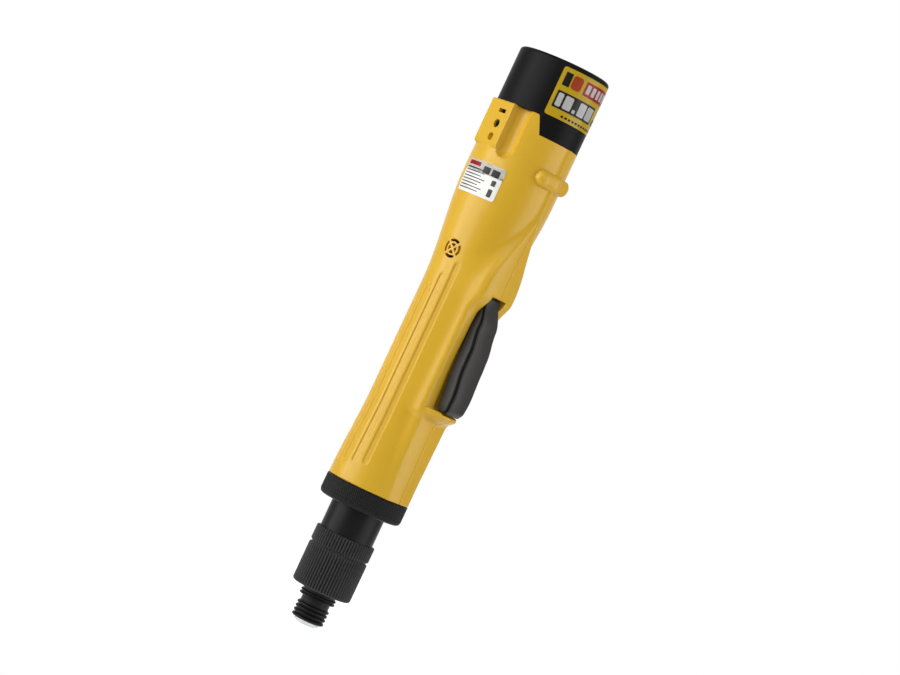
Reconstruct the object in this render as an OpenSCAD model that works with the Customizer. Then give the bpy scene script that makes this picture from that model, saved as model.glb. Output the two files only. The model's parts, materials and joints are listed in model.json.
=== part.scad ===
// Straight electric torque screwdriver with a slide-in battery.
// Frame: origin at the centre of the clamp ring on the spindle axis, +Z towards the battery,
// +X towards the trigger. The two housing shells meet on the plane y = 0.

/* [Grip and housing] */
// Radius of the round grip
grip_r = 16.8; // [16.6:0.1:17.6]
// Radius of the grip's foot, next to the clamp ring
foot_r = 18.3; // [18.1:0.1:18.8]
// Height of the housing above the clamp ring
body_h = 172.7; // [171:0.5:178]
// Half-width of the upper housing, front to back
upper_a = 21.7; // [21.5:0.1:22.4]
// Half-width of the upper housing, side to side
upper_b = 19.3; // [19.2:0.1:20]
// Distance from the axis to the front of the upper housing
front_reach = 21.2; // [21:0.1:22]
// Distance from the axis to the front of the housing beside the trigger
guard_reach = 17.9; // [17.6:0.1:18.6]
// Half-width of the trigger guard
guard_half_w = 11.6; // [11:0.1:12.4]
// Height of the notch at the front of the rim
rim_notch_h = 8; // [6:0.5:10]
// Gap between faces that meet
seam_gap = 0.05; // [0.02:0.01:0.1]

/* [Grip channels] */
// Channels on each side
channel_count = 5; // [3:1:5]
// Angle between two channels
channel_step = 16.5; // [16:0.5:19]
// Width of a channel
channel_w = 3; // [2.4:0.1:3.6]
// Depth of a channel
channel_depth = 0.5; // [0.3:0.05:0.7]

/* [Trigger] */
// Height of the lower edge of the trigger
trigger_z = 47.5; // [46.5:0.5:49]
// Length of the trigger
trigger_h = 52; // [50:0.5:53]
// Width of the trigger at its middle
trigger_w = 12; // [11:0.25:12.5]
// Distance from the axis to the front of the trigger
trigger_reach = 26.5; // [25.5:0.25:28]
// Gap between the trigger and its opening
trigger_gap = 0.8; // [0.6:0.1:1]
// Radius of the trigger's pivot pin
trigger_pin_r = 1; // [0.8:0.1:1.2]
// Reach of the lip under the trigger
lip_reach = 23.6; // [22.5:0.1:24.5]

/* [Battery] */
// Height of the battery above the housing's rim
battery_top_h = 25.1; // [20:0.5:30]
// Length of the battery inside the housing
battery_in_h = 44; // [42:0.5:46]
// Diameter of a cell
cell_d = 16.4; // [15.5:0.1:16.6]
// Length of a cell
cell_h = 50; // [46:0.5:54]
// Sliding gap round the battery
battery_gap = 0.2; // [0.15:0.05:0.3]
// Wall between the battery bay and the outside
bay_wall = 1.7; // [1.5:0.1:1.9]

/* [Clamp ring and nose] */
// Radius of the knurled clamp ring
ring_r = 18.6; // [18.4:0.1:19.4]
// Height of the clamp ring
ring_h = 9.1; // [8.5:0.1:10]
// Radius of the nose cylinder
nose_r = 12; // [11.8:0.1:12.6]
// Length of the nose cylinder below the ring
nose_len = 27; // [26.5:0.5:28.5]
// Radius of the nose's neck inside the torque nut
neck_r = 7.4; // [7.3:0.05:7.6]
// Radius of the flange at the nose's front end
flange_r = 8.1; // [8:0.05:8.15]

/* [Torque adjustment] */
// Radius of the torque nut
nut_r = 13.3; // [13.2:0.1:14.2]
// Length of the torque nut
nut_h = 25.7; // [25:0.1:26]
// Distance from the ring to the torque nut
nut_gap = 12.7; // [12.5:0.1:13]
// Pitch of the torque nut's thread
nut_pitch = 1.5; // [1:0.25:2]
// Running gap between the nut and the nose
nut_clear = 0.05; // [0.03:0.01:0.08]
// Wire radius of the clutch spring
spring_wire_r = 0.8; // [0.6:0.05:0.9]
// Turns of the clutch spring
spring_turns = 4.5; // [4:0.5:5]

/* [Spindle and bit holder] */
// Radius of the spindle
spindle_r = 4.6; // [4.5:0.05:4.7]
// Width across the flats of the hexagonal bit socket
hex_af = 6.35; // [6.3:0.05:6.4]
// Depth of the bit socket
hex_depth = 13; // [12:0.5:14]
// Radius of the ridges on the chuck sleeve
sleeve_r = 7.33; // [7.2:0.05:7.6]
// Number of ridges on the chuck sleeve
sleeve_ridges = 4; // [4:1:5]
// Running gap on the spindle
spindle_clear = 0.04; // [0.03:0.01:0.06]

/* [Gears and motor] */
// Gear module
gear_m = 0.5; // [0.48:0.01:0.5]
// Teeth of the sun gears
sun_teeth = 12; // [12:1:12]
// Teeth of the planet gears
planet_teeth = 18; // [18:1:18]
// Face width of a gear
gear_w = 6; // [5.5:0.1:6.2]
// Backlash on each tooth flank
gear_play = 0.06; // [0.05:0.01:0.08]
// Radius of the motor
motor_r = 13.85; // [13.5:0.05:13.85]
// Length of the motor's can
motor_h = 34; // [32:0.5:36]
// Radius of the motor shaft
shaft_r = 1.15; // [1:0.05:1.2]

/* [Hidden] */

$fn = 64;
eps = 0.02;

// ---- Heights of the housing ----
body_z = ring_h / 2 + 0.2;
rim_z = body_z + body_h;
notch_z = rim_z - rim_notch_h;
battery_z = rim_z - battery_in_h;
battery_top_z = rim_z + battery_top_h;
trigger_top = trigger_z + trigger_h;
lip_z = trigger_z - 3.75;
lip_h = 3.5;
prow_z = trigger_top + 1.4;
bulkhead_z = battery_z - 15;
prow_tip_z = battery_z + 12.5;
prow_h = prow_tip_z - prow_z;
vent_z = bulkhead_z - 6.75;
boss_z = rim_z - 24.2;
pad_z = rim_z - 20.7;
plate_z = rim_z - 40.7;

// ---- Radii inside the housing ----
case_r = 15;
spigot_r = ring_r - 1.6;
case_bore_r = case_r + seam_gap;
motor_bore_r = motor_r + seam_gap;
bay_a = upper_a - bay_wall - 0.75;
bay_b = upper_b - bay_wall;
case_a = bay_a - battery_gap;
case_b = bay_b - battery_gap;
top_a = upper_a - 0.4;
top_b = upper_b - 0.4;
trough_x = 4.3;
trough_r = 4;
trough_y = upper_b + 0.6;
trough_wall = 1.6;

// ---- Gear train and motor ----
ring_teeth = sun_teeth + 2 * planet_teeth;
planet_orbit = gear_m * (sun_teeth + planet_teeth) / 2;
ring_pitch_r = gear_m * ring_teeth / 2;
flange_z = 1.5 - ring_h / 2;
flange_t = 2;
case_z = flange_z + flange_t;
carrier_t = 1.8;
carrier_b_z = case_z + 0.2;
planet_b_z = carrier_b_z + carrier_t + 0.2;
carrier_a_z = planet_b_z + gear_w + 0.9;
planet_a_z = carrier_a_z + carrier_t + 0.2;
case_h = planet_a_z + gear_w + 1.7 - case_z;
plate_t = 2;
motor_plate_z = case_z + case_h;
motor_z = motor_plate_z + plate_t;
motor_cap_z = motor_z + motor_h;
motor_cap_h = 3.8;
planet_pin_r = 1;

// ---- Nose and torque adjustment ----
nose_bore_r = nose_r - 1.6;
shoulder_z = -ring_h / 2 - nose_len;
shoulder_t = 2.5;
nut_top_z = -ring_h / 2 - nut_gap;
nut_z = nut_top_z - nut_h;
nut_wall = 2.75;
flange_front_z = nut_z - 4;
flange_h = 2.4;
bush_r = 6.7;
collar_bore_r = 6.6;
pin_orbit = 9;
push_pin_r = 1.1;
washer_t = 0.8;
pin_z = nut_z + nut_wall + washer_t;
seat_z = shoulder_z + shoulder_t + 1.7;
seat_t = 2;
plate_clutch_t = 3;
ball_r = 1;
cam_t = 3;
cam_z = carrier_b_z - cam_t;
clutch_z = cam_z - 0.6 - plate_clutch_t;
spring_z = seat_z + seat_t;
spring_h = clutch_z - spring_z;

// ---- Bit holder ----
sleeve_top_z = flange_front_z - 2.5;
ridge_pitch = 1.825;
sleeve_h = sleeve_ridges * ridge_pitch;
sleeve_z = sleeve_top_z - sleeve_h;
spindle_z = sleeve_z - 1.8;
collar_r = 6.4;
collar_h = 3.8;
ball_z = sleeve_z + 5.25;
detent_r = 1;
release_r = 5.45;

// ---- Trigger ----
pivot_x = 17.5;
pivot_z = trigger_top - 3.6;
switch_z = trigger_top - 15.5;
plunger_z = switch_z;

// Value of a [height, value] table at height z, eased between its entries
function pick(t, z, i) =
    z <= t[0][0] ? t[0][1]
    : i >= len(t) - 1 ? t[len(t) - 1][1]
    : z > t[i + 1][0] ? pick(t, z, i + 1)
    : let (s = (z - t[i][0]) / (t[i + 1][0] - t[i][0])) t[i][1] + (t[i + 1][1] - t[i][1]) * s * s * (3 - 2 * s);
function ease(t, z) = pick(t, z, 0);

// Radii of the housing's round body along its height: back, front and sides
flare_z = prow_z + 4;
shoulder_top_z = prow_tip_z;
back_t = [[body_z, foot_r], [body_z + 40, grip_r], [flare_z - 10, grip_r], [shoulder_top_z, upper_a]];
side_t = [[body_z, foot_r], [body_z + 40, grip_r], [flare_z - 10, grip_r], [shoulder_top_z, upper_b]];
front_t = [[body_z, foot_r], [body_z + 40, grip_r], [flare_z - 10, grip_r], [shoulder_top_z, front_reach]];

// Front spine: distance of its face, its half-width and the lean of its walls
spine_reach_t = [[body_z, foot_r - 0.1], [body_z + 14, guard_reach - 0.1], [lip_z, guard_reach],
    [prow_z - 10, guard_reach], [prow_z, front_reach + 0.25], [prow_tip_z, front_reach]];
spine_half_t = [[body_z, 8.6], [lip_z - 4, 9.2], [lip_z + 12, guard_half_w], [prow_z - 18, guard_half_w],
    [prow_z + 1, 10], [prow_z + 0.24 * prow_h, 8.4], [prow_z + 0.556 * prow_h, 5.4], [prow_tip_z, 1.4]];
spine_lean = 12;

function oval_r(a, b, t) = 1 / sqrt(pow(cos(t) / a, 2) + pow(sin(t) / b, 2));
function body_r(t, z) =
    oval_r(cos(t) > 0 ? ease(front_t, z) : ease(back_t, z), ease(side_t, z), t);
// Signed angle folded to the front half, 0 at the front and 180 at the back
function fold(t) = abs(t > 180 ? t - 360 : t);
function spine_r(t, z) =
    let (reach = ease(spine_reach_t, z), half = ease(spine_half_t, z), f = fold(t), n = 90 - spine_lean,
        front = f < 85 ? reach / cos(f) : 1000,
        wall = f < 100 && f > 0 ? (half * sin(n) + (reach - 2) * cos(n)) / max(cos(f - n), 0.01) : 1000)
    -soft_max(-front, -wall, 1.1);
function soft_max(a, b, k) = let (h = max(k - abs(a - b), 0) / k) max(a, b) + h * h * k / 4;
function shell_r(t, z) = fold(t) < 80 ? soft_max(body_r(t, z), spine_r(t, z), 1.2) : body_r(t, z);

// Levels at which the housing's section changes
body_levels = concat(
    [body_z, body_z + 5, body_z + 10, body_z + 16, body_z + 24, body_z + 32, lip_z],
    [for (i = [1 : 3]) lip_z + i * 4.5],
    [trigger_z + 16, prow_z - 28, prow_z - 18, prow_z - 12, prow_z - 10, prow_z - 6.5, prow_z - 4.5, prow_z - 2.5],
    [for (i = [0 : 8]) prow_z + i / 8 * prow_h],
    [ boss_z, pad_z, rim_z]);

// Angles of the section's corners on one side, closer together on the front spine
body_angles = concat([for (t = [3 : 3 : 60]) t], [for (t = [66 : 6 : 174]) t]);

// Closed solid through rings of equal point counts; a ring that is a thin band has its ends closed by strips
module loft(rings, band = false) {
    count = len(rings[0]);
    last = len(rings) - 1;
    points = [for (ring = rings) for (p = ring) p];
    walls = [for (k = [0 : last - 1]) for (i = [0 : count - 1])
        let (j = (i + 1) % count, a = k * count, b = a + count)
        each [[a + i, b + i, b + j], [a + i, b + j, a + j]]];
    ends = band ? [for (i = [0 : count / 2 - 2]) [i, i + 1, count - 2 - i, count - 1 - i]]
        : [[for (i = [0 : count - 1]) i]];
    bottom = ends;
    top = [for (e = ends) [for (i = [len(e) - 1 : -1 : 0]) last * count + e[i]]];
    polyhedron(points = points, faces = concat(walls, bottom, top), convexity = 8);
}

// One side of the body, cut flat along the seam: side -1 is the left one (y < 0), +1 the right one
function body_ring(side, z) =
    let (seam_y = side * seam_gap / 2,
        half = concat([[shell_r(0, z), seam_y, z]],
            [for (t = body_angles) let (r = shell_r(t, z)) [r * cos(t), side * r * sin(t), z]],
            [[-shell_r(180, z), seam_y, z]]))
    side > 0 ? half : [for (i = [len(half) - 1 : -1 : 0]) half[i]];

module body_half(side) {
    loft([for (z = body_levels) body_ring(side, z)]);
}

module oval(a, b, n = 96) {
    polygon([for (i = [0 : n - 1]) let (t = i * 360 / n, r = oval_r(a, b, t)) [r * cos(t), r * sin(t)]]);
}

// Oval with a round valley on each side, where the housing has its troughs
module lobed_oval(a, b, valley) {
    difference() {
        oval(a, b);
        for (s = [-1, 1])
            translate([trough_x, s * trough_y]) circle(r = valley);
    }
}

// Cylinder between two heights
module disc(r, z0, z1) {
    translate([0, 0, z0]) cylinder(r = r, h = z1 - z0);
}

module tube(r_out, r_in, z0, z1) {
    difference() {
        disc(r_out, z0, z1);
        disc(r_in, z0 - 1, z1 + 1);
    }
}

// Cylinder along Y
module cross_cylinder(r, x, z, y0, y1) {
    translate([x, y0, z]) rotate([-90, 0, 0]) cylinder(r = r, h = y1 - y0);
}

// ---- Housing ----
screw_r = 1.2;
screw_head_r = 1.6;
screw_head_h = 1.5;
// Each fixing screw: distance from the axis, height, and seat of its head
screw_places = [[front_reach - 0.3, boss_z, 5.4], [-11, battery_z - 10, 7.1], [11, battery_z - 10, 7.1]];

// Half-width of the trigger along its height, as shares of its full width
function trigger_half(z) =
    let (s = (z - trigger_z) / trigger_h)
    trigger_w / 2 * ease([[0, 0.72], [0.08, 0.84], [0.4, 1], [0.7, 0.93], [1, 0.69]], s);

module trigger_opening() {
    steps = 12;
    side = [for (i = [0 : steps]) let (s = i / steps) [s * trigger_h + trigger_z, s]];
    outline = concat(
        [for (p = side) [trigger_half(p[0]) + trigger_gap, p[0] + (2 * p[1] - 1) * trigger_gap]],
        [for (i = [steps : -1 : 0]) let (p = side[i]) [-trigger_half(p[0]) - trigger_gap, p[0] + (2 * p[1] - 1) * trigger_gap]]);
    difference() {
        translate([12, 0, 0]) rotate([90, 0, 90]) linear_extrude(20) polygon(outline);
        disc(motor_bore_r + 1.7, trigger_z - 5, trigger_top + 5);
    }
}

module lip() {
    lip_r = guard_half_w - 0.2;
    translate([lip_reach - lip_r, 0, lip_z])
        rotate_extrude()
            polygon([[0, -3], [lip_r - 4.5, -3], [lip_r - 2.2, -1.4], [lip_r - 0.5, 0], [lip_r, 1],
                [lip_r, lip_h - 1.2], [lip_r - 0.5, lip_h - 0.3], [lip_r - 1.4, lip_h], [0, lip_h]]);
}

module cross_boss() {
    boss_r = 3.8;
    end_y = 6.4;
    translate([front_reach - 2, 0, boss_z]) {
        rotate([90, 0, 0]) cylinder(r = boss_r, h = 2 * end_y, center = true);
        for (s = [-1, 1]) translate([0, s * end_y, 0]) sphere(r = boss_r);
    }
}

pad_turn = 16;
pad_face = upper_b + 0.4;
pad_u0 = -10.7;
pad_w = 16.5;

module pads() {
    for (s = [-1, 1])
        rotate([0, 0, s * (90 + pad_turn)])
            translate([12, s > 0 ? -pad_u0 - pad_w : pad_u0, pad_z]) cube([pad_face - 12, pad_w, rim_z - pad_z]);
}

// Slot, screw hole and oval recess on the visible pad
module pad_openings() {
    for (s = [-1, 1])
        rotate([0, 0, s * (90 + pad_turn)]) {
            translate([pad_face - 0.8, 0, rim_z - 4.5]) cube([4, 4.9, 1.7], center = true);
            translate([pad_face - 0.7, 0, rim_z - 16.3]) rotate([0, 90, 0]) cylinder(r = 1.6, h = 4);
        }
    at_pad_screws() {
        translate([0, 0, -pad_screw_depth]) cylinder(r = 1.85, h = 4);
        translate([0, 0, -3]) cylinder(r = 0.72, h = 3);
    }
}

pad_screw_depth = 1.5;

// Places its children on both pads' screw axes, with +Z out of the pad
module at_pad_screws() {
    for (s = [-1, 1])
        rotate([0, 0, s * (90 + pad_turn)]) translate([pad_face, 0, rim_z - 10.3]) rotate([0, 90, 0]) children();
}

module troughs() {
    for (s = [-1, 1]) {
        translate([trough_x, s * trough_y, pad_z + 2]) cylinder(r = trough_r, h = 40);
        translate([trough_x, s * trough_y, pad_z + 2]) sphere(r = trough_r);
    }
}

// One grip channel: a thin band that follows the grip's outline, cut to a slot with round ends
module channel(turn, z0, z1) {
    steps = 8;
    levels = [for (i = [0 : steps]) z0 + (z1 - z0) * i / steps];
    rotate([0, 0, turn])
        intersection() {
            rotate_extrude()
                polygon(concat(
                    [for (z = levels) [body_r(-90, z) - channel_depth, z]],
                    [for (i = [steps : -1 : 0]) [foot_r + 4, levels[i]]]));
            rotate([90, 0, 90])
                linear_extrude(foot_r + 5) {
                    translate([-channel_w / 2, z0 + channel_w / 2]) square([channel_w, z1 - z0 - channel_w]);
                    translate([0, z0 + channel_w / 2]) circle(d = channel_w);
                    translate([0, z1 - channel_w / 2]) circle(d = channel_w);
                }
        }
}

channel_start = 71;

module channels(side) {
    for (i = [0 : channel_count - 1])
        channel(side * (channel_start + i * channel_step), body_z + 9.5 - i * 1.3, prow_z + 6.5 - i * 6.4);
}

// Round sound vent: four arcs round a cross
module vent() {
    vent_r = 4.15;
    arc_w = 1.1;
    from = board_bore_r - 1.2;
    cut = grip_r + 4 - from;
    translate([0, -from, vent_z]) rotate([90, 0, 0]) {
        difference() {
            cylinder(r = vent_r, h = cut);
            translate([0, 0, -1]) cylinder(r = vent_r - arc_w, h = cut + 2);
            for (a = [0, 90]) rotate([0, 0, a]) translate([-vent_r - 1, -0.9, -1]) cube([2 * vent_r + 2, 1.8, cut + 2]);
        }
        difference() {
            cylinder(r = vent_r - arc_w - 0.7, h = cut);
            for (a = [45, 135]) rotate([0, 0, a]) translate([-vent_r, -0.45, -1]) cube([2 * vent_r, 0.9, cut + 2]);
        }
    }
}

// Everything inside the housing that stays clear of its walls
module cavities() {
    disc(case_bore_r, body_z - 20, motor_z + 0.3);
    disc(motor_bore_r, motor_z, motor_cap_z + motor_cap_h + 3.5);
    disc(board_bore_r, motor_cap_z + motor_cap_h + 3, bulkhead_z);
    translate([-9.05, -3.05, bulkhead_z - 1]) cube([18.1, 6.1, battery_z - bulkhead_z + 1]);
    translate([0, 0, battery_z - 0.8])
        linear_extrude(rim_z - battery_z + 5) lobed_oval(bay_a, bay_b, trough_r + trough_wall);
}

board_bore_r = 14;
rim_cut_low = 14.4;
rim_cut_high = 16.6;

module rim_notch() {
    rotate([90, 0, 90]) linear_extrude(40)
        polygon([[-rim_cut_low, notch_z], [rim_cut_low, notch_z], [rim_cut_high, rim_z + 1], [-rim_cut_high, rim_z + 1]]);
}

guard_h = 6.8;
knob_z = trigger_z + 27.4;
knob_travel = 1.5;

// Raised frame at the back for the direction knob
module knob_guard() {
    translate([-grip_r - 1.1, -3.7, knob_z - guard_h / 2]) cube([3, 7.4, guard_h]);
}

module knob_slot() {
    translate([-grip_r - 1, 0, knob_z]) cube([12, 3.6, guard_h - 1.6], center = true);
}

// One shell: side -1 is the left shell (y < 0), +1 the right one
module shell(side) {
    difference() {
        union() {
            body_half(side);
            intersection() {
                union() {
                    lip();
                    cross_boss();
                    pads();
                    knob_guard();
                    disc(spigot_r, case_z, body_z + 1);
                }
                translate([-60, side < 0 ? -60 : seam_gap / 2, case_z]) cube([120, 60 - seam_gap / 2, 400]);
            }
        }
        cavities();
        trigger_opening();
        troughs();
        pad_openings();
        rim_notch();
        knob_slot();
        channels(side);
        plunger_passage();
        for (p = screw_places) {
            if (side > 0) cross_cylinder(screw_r + 0.05, p[0], p[1], -1, 30);
            if (side < 0) cross_cylinder(screw_r - 0.1, p[0], p[1], -8.2, 1);
            if (side > 0) cross_cylinder(screw_head_r + 0.15, p[0], p[1], p[2] - 0.05, 30);
        }
        cross_cylinder(trigger_pin_r + 0.02, pivot_x, pivot_z, -7.5, 7.5);
        if (side < 0) vent();
    }
}

// Passage for the switch plunger through the floor of the trigger opening
module plunger_passage() {
    translate([10, 0, plunger_z]) rotate([0, 90, 0]) cylinder(r = 1.6, h = 12);
}

module housing_left() {
    color("#dab034") shell(-1);
}

module housing_right() {
    color("#dab034") shell(1);
}

module housing_screws() {
    color("dimgray") {
        at_pad_screws() {
            translate([0, 0, -1.85]) cylinder(r = 0.7, h = 0.4);
            difference() {
                translate([0, 0, -pad_screw_depth]) cylinder(r = 1.55, h = 0.8);
                translate([0, 0, -0.8]) cube([2, 0.4, 0.6], center = true);
                translate([0, 0, -0.8]) cube([0.4, 2, 0.6], center = true);
            }
        }
        for (p = screw_places) {
            top = p[2] + screw_head_h;
            cross_cylinder(screw_r - 0.1, p[0], p[1], -8, p[2]);
            difference() {
                cross_cylinder(screw_head_r, p[0], p[1], p[2], top);
                translate([p[0], top - 0.4, p[1]]) cube([0.5, 1, 2.2], center = true);
                translate([p[0], top - 0.4, p[1]]) cube([2.2, 1, 0.5], center = true);
            }
        }
    }
}

// ---- Front end ----
module clamp_ring() {
    color("#1a1a1b") difference() {
        translate([0, 0, -ring_h / 2]) rotate_extrude($fn = 96)
            polygon([[nose_r + seam_gap, 0], [ring_r - 1.7, 0], [ring_r - 0.5, 0.5], [ring_r, 1.7],
                [ring_r, ring_h - 0.3], [ring_r - 0.3, ring_h], [nose_r + seam_gap, ring_h]]);
        disc(spigot_r + seam_gap, flange_z, ring_h);
    }
}

module nose_tube() {
    color("#1a1a1b") difference() {
        union() {
            disc(nose_r, shoulder_z, flange_z + 1);
            disc(spigot_r - seam_gap, flange_z, case_z);
            disc(neck_r, flange_front_z, shoulder_z + 1);
            disc(flange_r, flange_front_z, flange_front_z + 0.9);
            disc(flange_r - 0.4, flange_front_z + 0.9, flange_front_z + 1.5);
            disc(flange_r, flange_front_z + 1.5, flange_front_z + flange_h);
        }
        disc(nose_bore_r, shoulder_z + shoulder_t, case_z + 1);
        disc(collar_bore_r, flange_front_z - 1, bearing_z + 0.1);
        disc(bush_r, bearing_z, bearing_z + bearing_h + 0.2);
        disc(spindle_r + 0.4, bearing_z, shoulder_z + shoulder_t + 1);
        for (a = [0 : 120 : 240]) rotate([0, 0, a])
            translate([pin_orbit, 0, shoulder_z - 1]) cylinder(r = push_pin_r + 0.06, h = shoulder_t + 2);
    }
}

bearing_z = flange_front_z + 4.2;
bearing_h = 5;

module front_bearing() {
    color("peru") tube(bush_r - seam_gap / 2, spindle_r + spindle_clear, bearing_z + 0.1, bearing_z + bearing_h);
}

module gear_case() {
    color("lightgray") translate([0, 0, case_z])
        difference() {
            cylinder(r = case_r, h = case_h);
            translate([0, 0, -1]) linear_extrude(case_h + 2) gear_outline(ring_teeth, inner = true);
        }
}

// ---- Torque adjustment ----
module torque_nut() {
    groove_z = nut_top_z - 7.4 - nut_z;
    color("#1a1a1b") translate([0, 0, nut_z])
        rotate_extrude($fn = 96)
            polygon([[flange_r + 0.2, 0], [nut_r - 1.2, 0], [nut_r - 0.35, 0.35], [nut_r, 1.2],
                [nut_r, groove_z - 0.9], [nut_r - 1, groove_z], [nut_r, groove_z + 0.9],
                [nut_r, nut_h - 0.4], [nut_r - 0.4, nut_h], [nose_r + nut_clear, nut_h],
                [nose_r + nut_clear, nut_wall], [flange_r + 0.2, nut_wall]]);
}

module thrust_washer() {
    color("silver") tube(nose_r - 0.4, neck_r + 0.3, nut_z + nut_wall, nut_z + nut_wall + washer_t);
}

module push_pins() {
    color("silver")
        for (a = [0 : 120 : 240]) rotate([0, 0, a])
            translate([pin_orbit, 0, pin_z]) cylinder(r = push_pin_r, h = seat_z - pin_z);
}

module spring_seat() {
    color("silver") tube(nose_bore_r - 0.1, spindle_r + 0.6, seat_z, spring_z);
}

// Round wire wound round the axis, with flat-lying first and last turns
module coil(mean_r, wire_r, z0, z1, turns, sides = 8, steps = 18) {
    rings = floor(turns * steps);
    rise = z1 - z0 - 2 * wire_r;
    loft([for (k = [0 : rings])
        let (a = 360 * k / steps, z = z0 + wire_r + rise * k / rings)
        [for (i = [0 : sides - 1]) let (t = -i * 360 / sides, r = mean_r + wire_r * cos(t))
            [r * cos(a), r * sin(a), z + wire_r * sin(t)]]]);
}

module clutch_spring() {
    color("silver") coil((nose_bore_r + spindle_r) / 2, spring_wire_r, spring_z + 0.05, clutch_z - 0.05, spring_turns);
}

// ---- Spindle and bit holder ----
module spindle() {
    color("silver") difference() {
        union() {
            disc(spindle_r, spindle_z + 0.4, clutch_z + plate_clutch_t - 0.2);
            translate([0, 0, spindle_z]) cylinder(r1 = spindle_r - 0.4, r2 = spindle_r, h = 0.4);
        }
        translate([0, 0, spindle_z - 1]) linear_extrude(hex_depth + 1) hexagon(hex_af);
        translate([0, 0, ball_z]) rotate([0, 90, 0]) cylinder(r = detent_r + 0.03, h = spindle_r + 1);
    }
}

module hexagon(flats) {
    polygon([for (a = [30 : 60 : 330]) flats / sqrt(3) * [cos(a), sin(a)]]);
}

module bit_ball() {
    color("silver") translate([spindle_r - detent_r, 0, ball_z]) sphere(r = detent_r);
}

// Clip on the spindle that the sleeve's spring pushes against
module sleeve_clip() {
    color("silver") tube(release_r - 0.1, spindle_r, bearing_z - 1.2, bearing_z - 0.4);
}

module retaining_ring() {
    color("silver") tube(spindle_r + 1, spindle_r, sleeve_z - 1, sleeve_z - 0.1);
}

module chuck_sleeve() {
    crest = sleeve_r;
    root = sleeve_r - 0.85;
    land = spindle_r + spindle_clear;
    color("#1a1a1b") translate([0, 0, sleeve_z])
        rotate_extrude()
            polygon(concat(
                [[land, 0]],
                [for (i = [0 : sleeve_ridges - 1]) let (z = i * ridge_pitch)
                    each [[root, z], [crest - 0.15, z + 0.35], [crest, z + 0.6], [crest, z + 1],
                        [crest - 0.15, z + 1.25], [root, z + 1.6]]],
                [[root, sleeve_h], [collar_r, sleeve_h], [collar_r, sleeve_h + collar_h],
                    [release_r, sleeve_h + collar_h], [release_r, 6.6], [land, 6.6], [land, 4],
                    [release_r, 4], [release_r, 1.2], [land, 1.2]]));
}

module sleeve_spring() {
    color("silver") coil((spindle_r + release_r) / 2, 0.3, sleeve_z + 6.65, bearing_z - 1.25, 5, 6, 14);
}

module clutch_plate() {
    color("dimgray") difference() {
        tube(nose_bore_r - 0.3, spindle_r, clutch_z, clutch_z + plate_clutch_t);
        ball_ring(ball_r + 0.02);
    }
}

ball_orbit = 7.4;

module ball_ring(r) {
    for (a = [0 : 60 : 300]) rotate([0, 0, a])
        translate([ball_orbit, 0, cam_z - 0.3]) sphere(r = r);
}

module clutch_balls() {
    color("silver") ball_ring(ball_r);
}

// ---- Gears ----
press_angle = 25;

// Point of an involute at the given radius
function involute_turn(base, r) = let (k = sqrt(pow(r / base, 2) - 1)) k * 180 / PI - atan(k);

// Tooth outline between root and tip, with play taken off each flank
module gear_outline(teeth, inner = false) {
    pitch = gear_m * teeth / 2;
    base = pitch * cos(press_angle);
    tip = inner ? pitch + 1.15 * gear_m : pitch + 0.85 * gear_m;
    root = inner ? pitch - 0.85 * gear_m : pitch - 1.15 * gear_m;
    play = (inner ? 1 : -1) * gear_play / pitch * 180 / PI;
    half = 90 / teeth + involute_turn(base, pitch) + play;
    low = max(root, base + 0.001);
    flank = [for (i = [0 : 3]) let (r = low + (tip - low) * i / 3) [r, half - involute_turn(base, r)]];
    polygon([for (k = [0 : teeth - 1]) let (a = k * 360 / teeth)
        each concat(
            [[root * cos(a - flank[0][1]), root * sin(a - flank[0][1])]],
            [for (f = flank) [f[0] * cos(a - f[1]), f[0] * sin(a - f[1])]],
            [for (i = [3 : -1 : 0]) let (f = flank[i]) [f[0] * cos(a + f[1]), f[0] * sin(a + f[1])]],
            [[root * cos(a + flank[0][1]), root * sin(a + flank[0][1])]])]);
}

// A planet at its place on the carrier, turned so that its teeth mesh with the fixed ring
module planet(i, z) {
    color("darkgray") rotate([0, 0, i * 120]) translate([planet_orbit, 0, z])
        rotate([0, 0, planet_turn(i)])
            difference() {
                linear_extrude(gear_w) gear_outline(planet_teeth);
                translate([0, 0, -1]) cylinder(r = planet_pin_r + 0.05, h = gear_w + 2);
            }
}

// Turn of planet i in its carrier's frame: an even tooth count puts a tooth on each side,
// and a planet carried round by its orbit rolls on the ring
function planet_turn(i) = -i * 120 * ring_teeth / planet_teeth;

// Turn of a sun gear that puts a gap opposite a planet's tooth
sun_turn = 180 / sun_teeth;

module carrier_pins(z) {
    for (i = [0 : 2]) rotate([0, 0, i * 120])
        translate([planet_orbit, 0, z]) cylinder(r = planet_pin_r, h = gear_w + carrier_t + 0.5);
}

module carrier_b() {
    color("gray") difference() {
        union() {
            disc(ring_pitch_r - 1.2, carrier_b_z, carrier_b_z + carrier_t);
            disc(nose_bore_r - 0.3, cam_z, carrier_b_z + 1);
            carrier_pins(carrier_b_z);
        }
        ball_ring(ball_r + 0.02);
    }
}

module carrier_a() {
    color("gray") {
        disc(ring_pitch_r - 1.2, carrier_a_z, carrier_a_z + carrier_t);
        carrier_pins(carrier_a_z);
        translate([0, 0, planet_b_z + 0.1]) rotate([0, 0, sun_turn])
            linear_extrude(carrier_a_z - planet_b_z + 0.5) gear_outline(sun_teeth);
    }
}

module planet_b1() { planet(0, planet_b_z); }
module planet_b2() { planet(1, planet_b_z); }
module planet_b3() { planet(2, planet_b_z); }
module planet_a1() { planet(0, planet_a_z); }
module planet_a2() { planet(1, planet_a_z); }
module planet_a3() { planet(2, planet_a_z); }

// ---- Motor ----
can_wall = 1;
motor_boss_r = 4;

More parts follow.
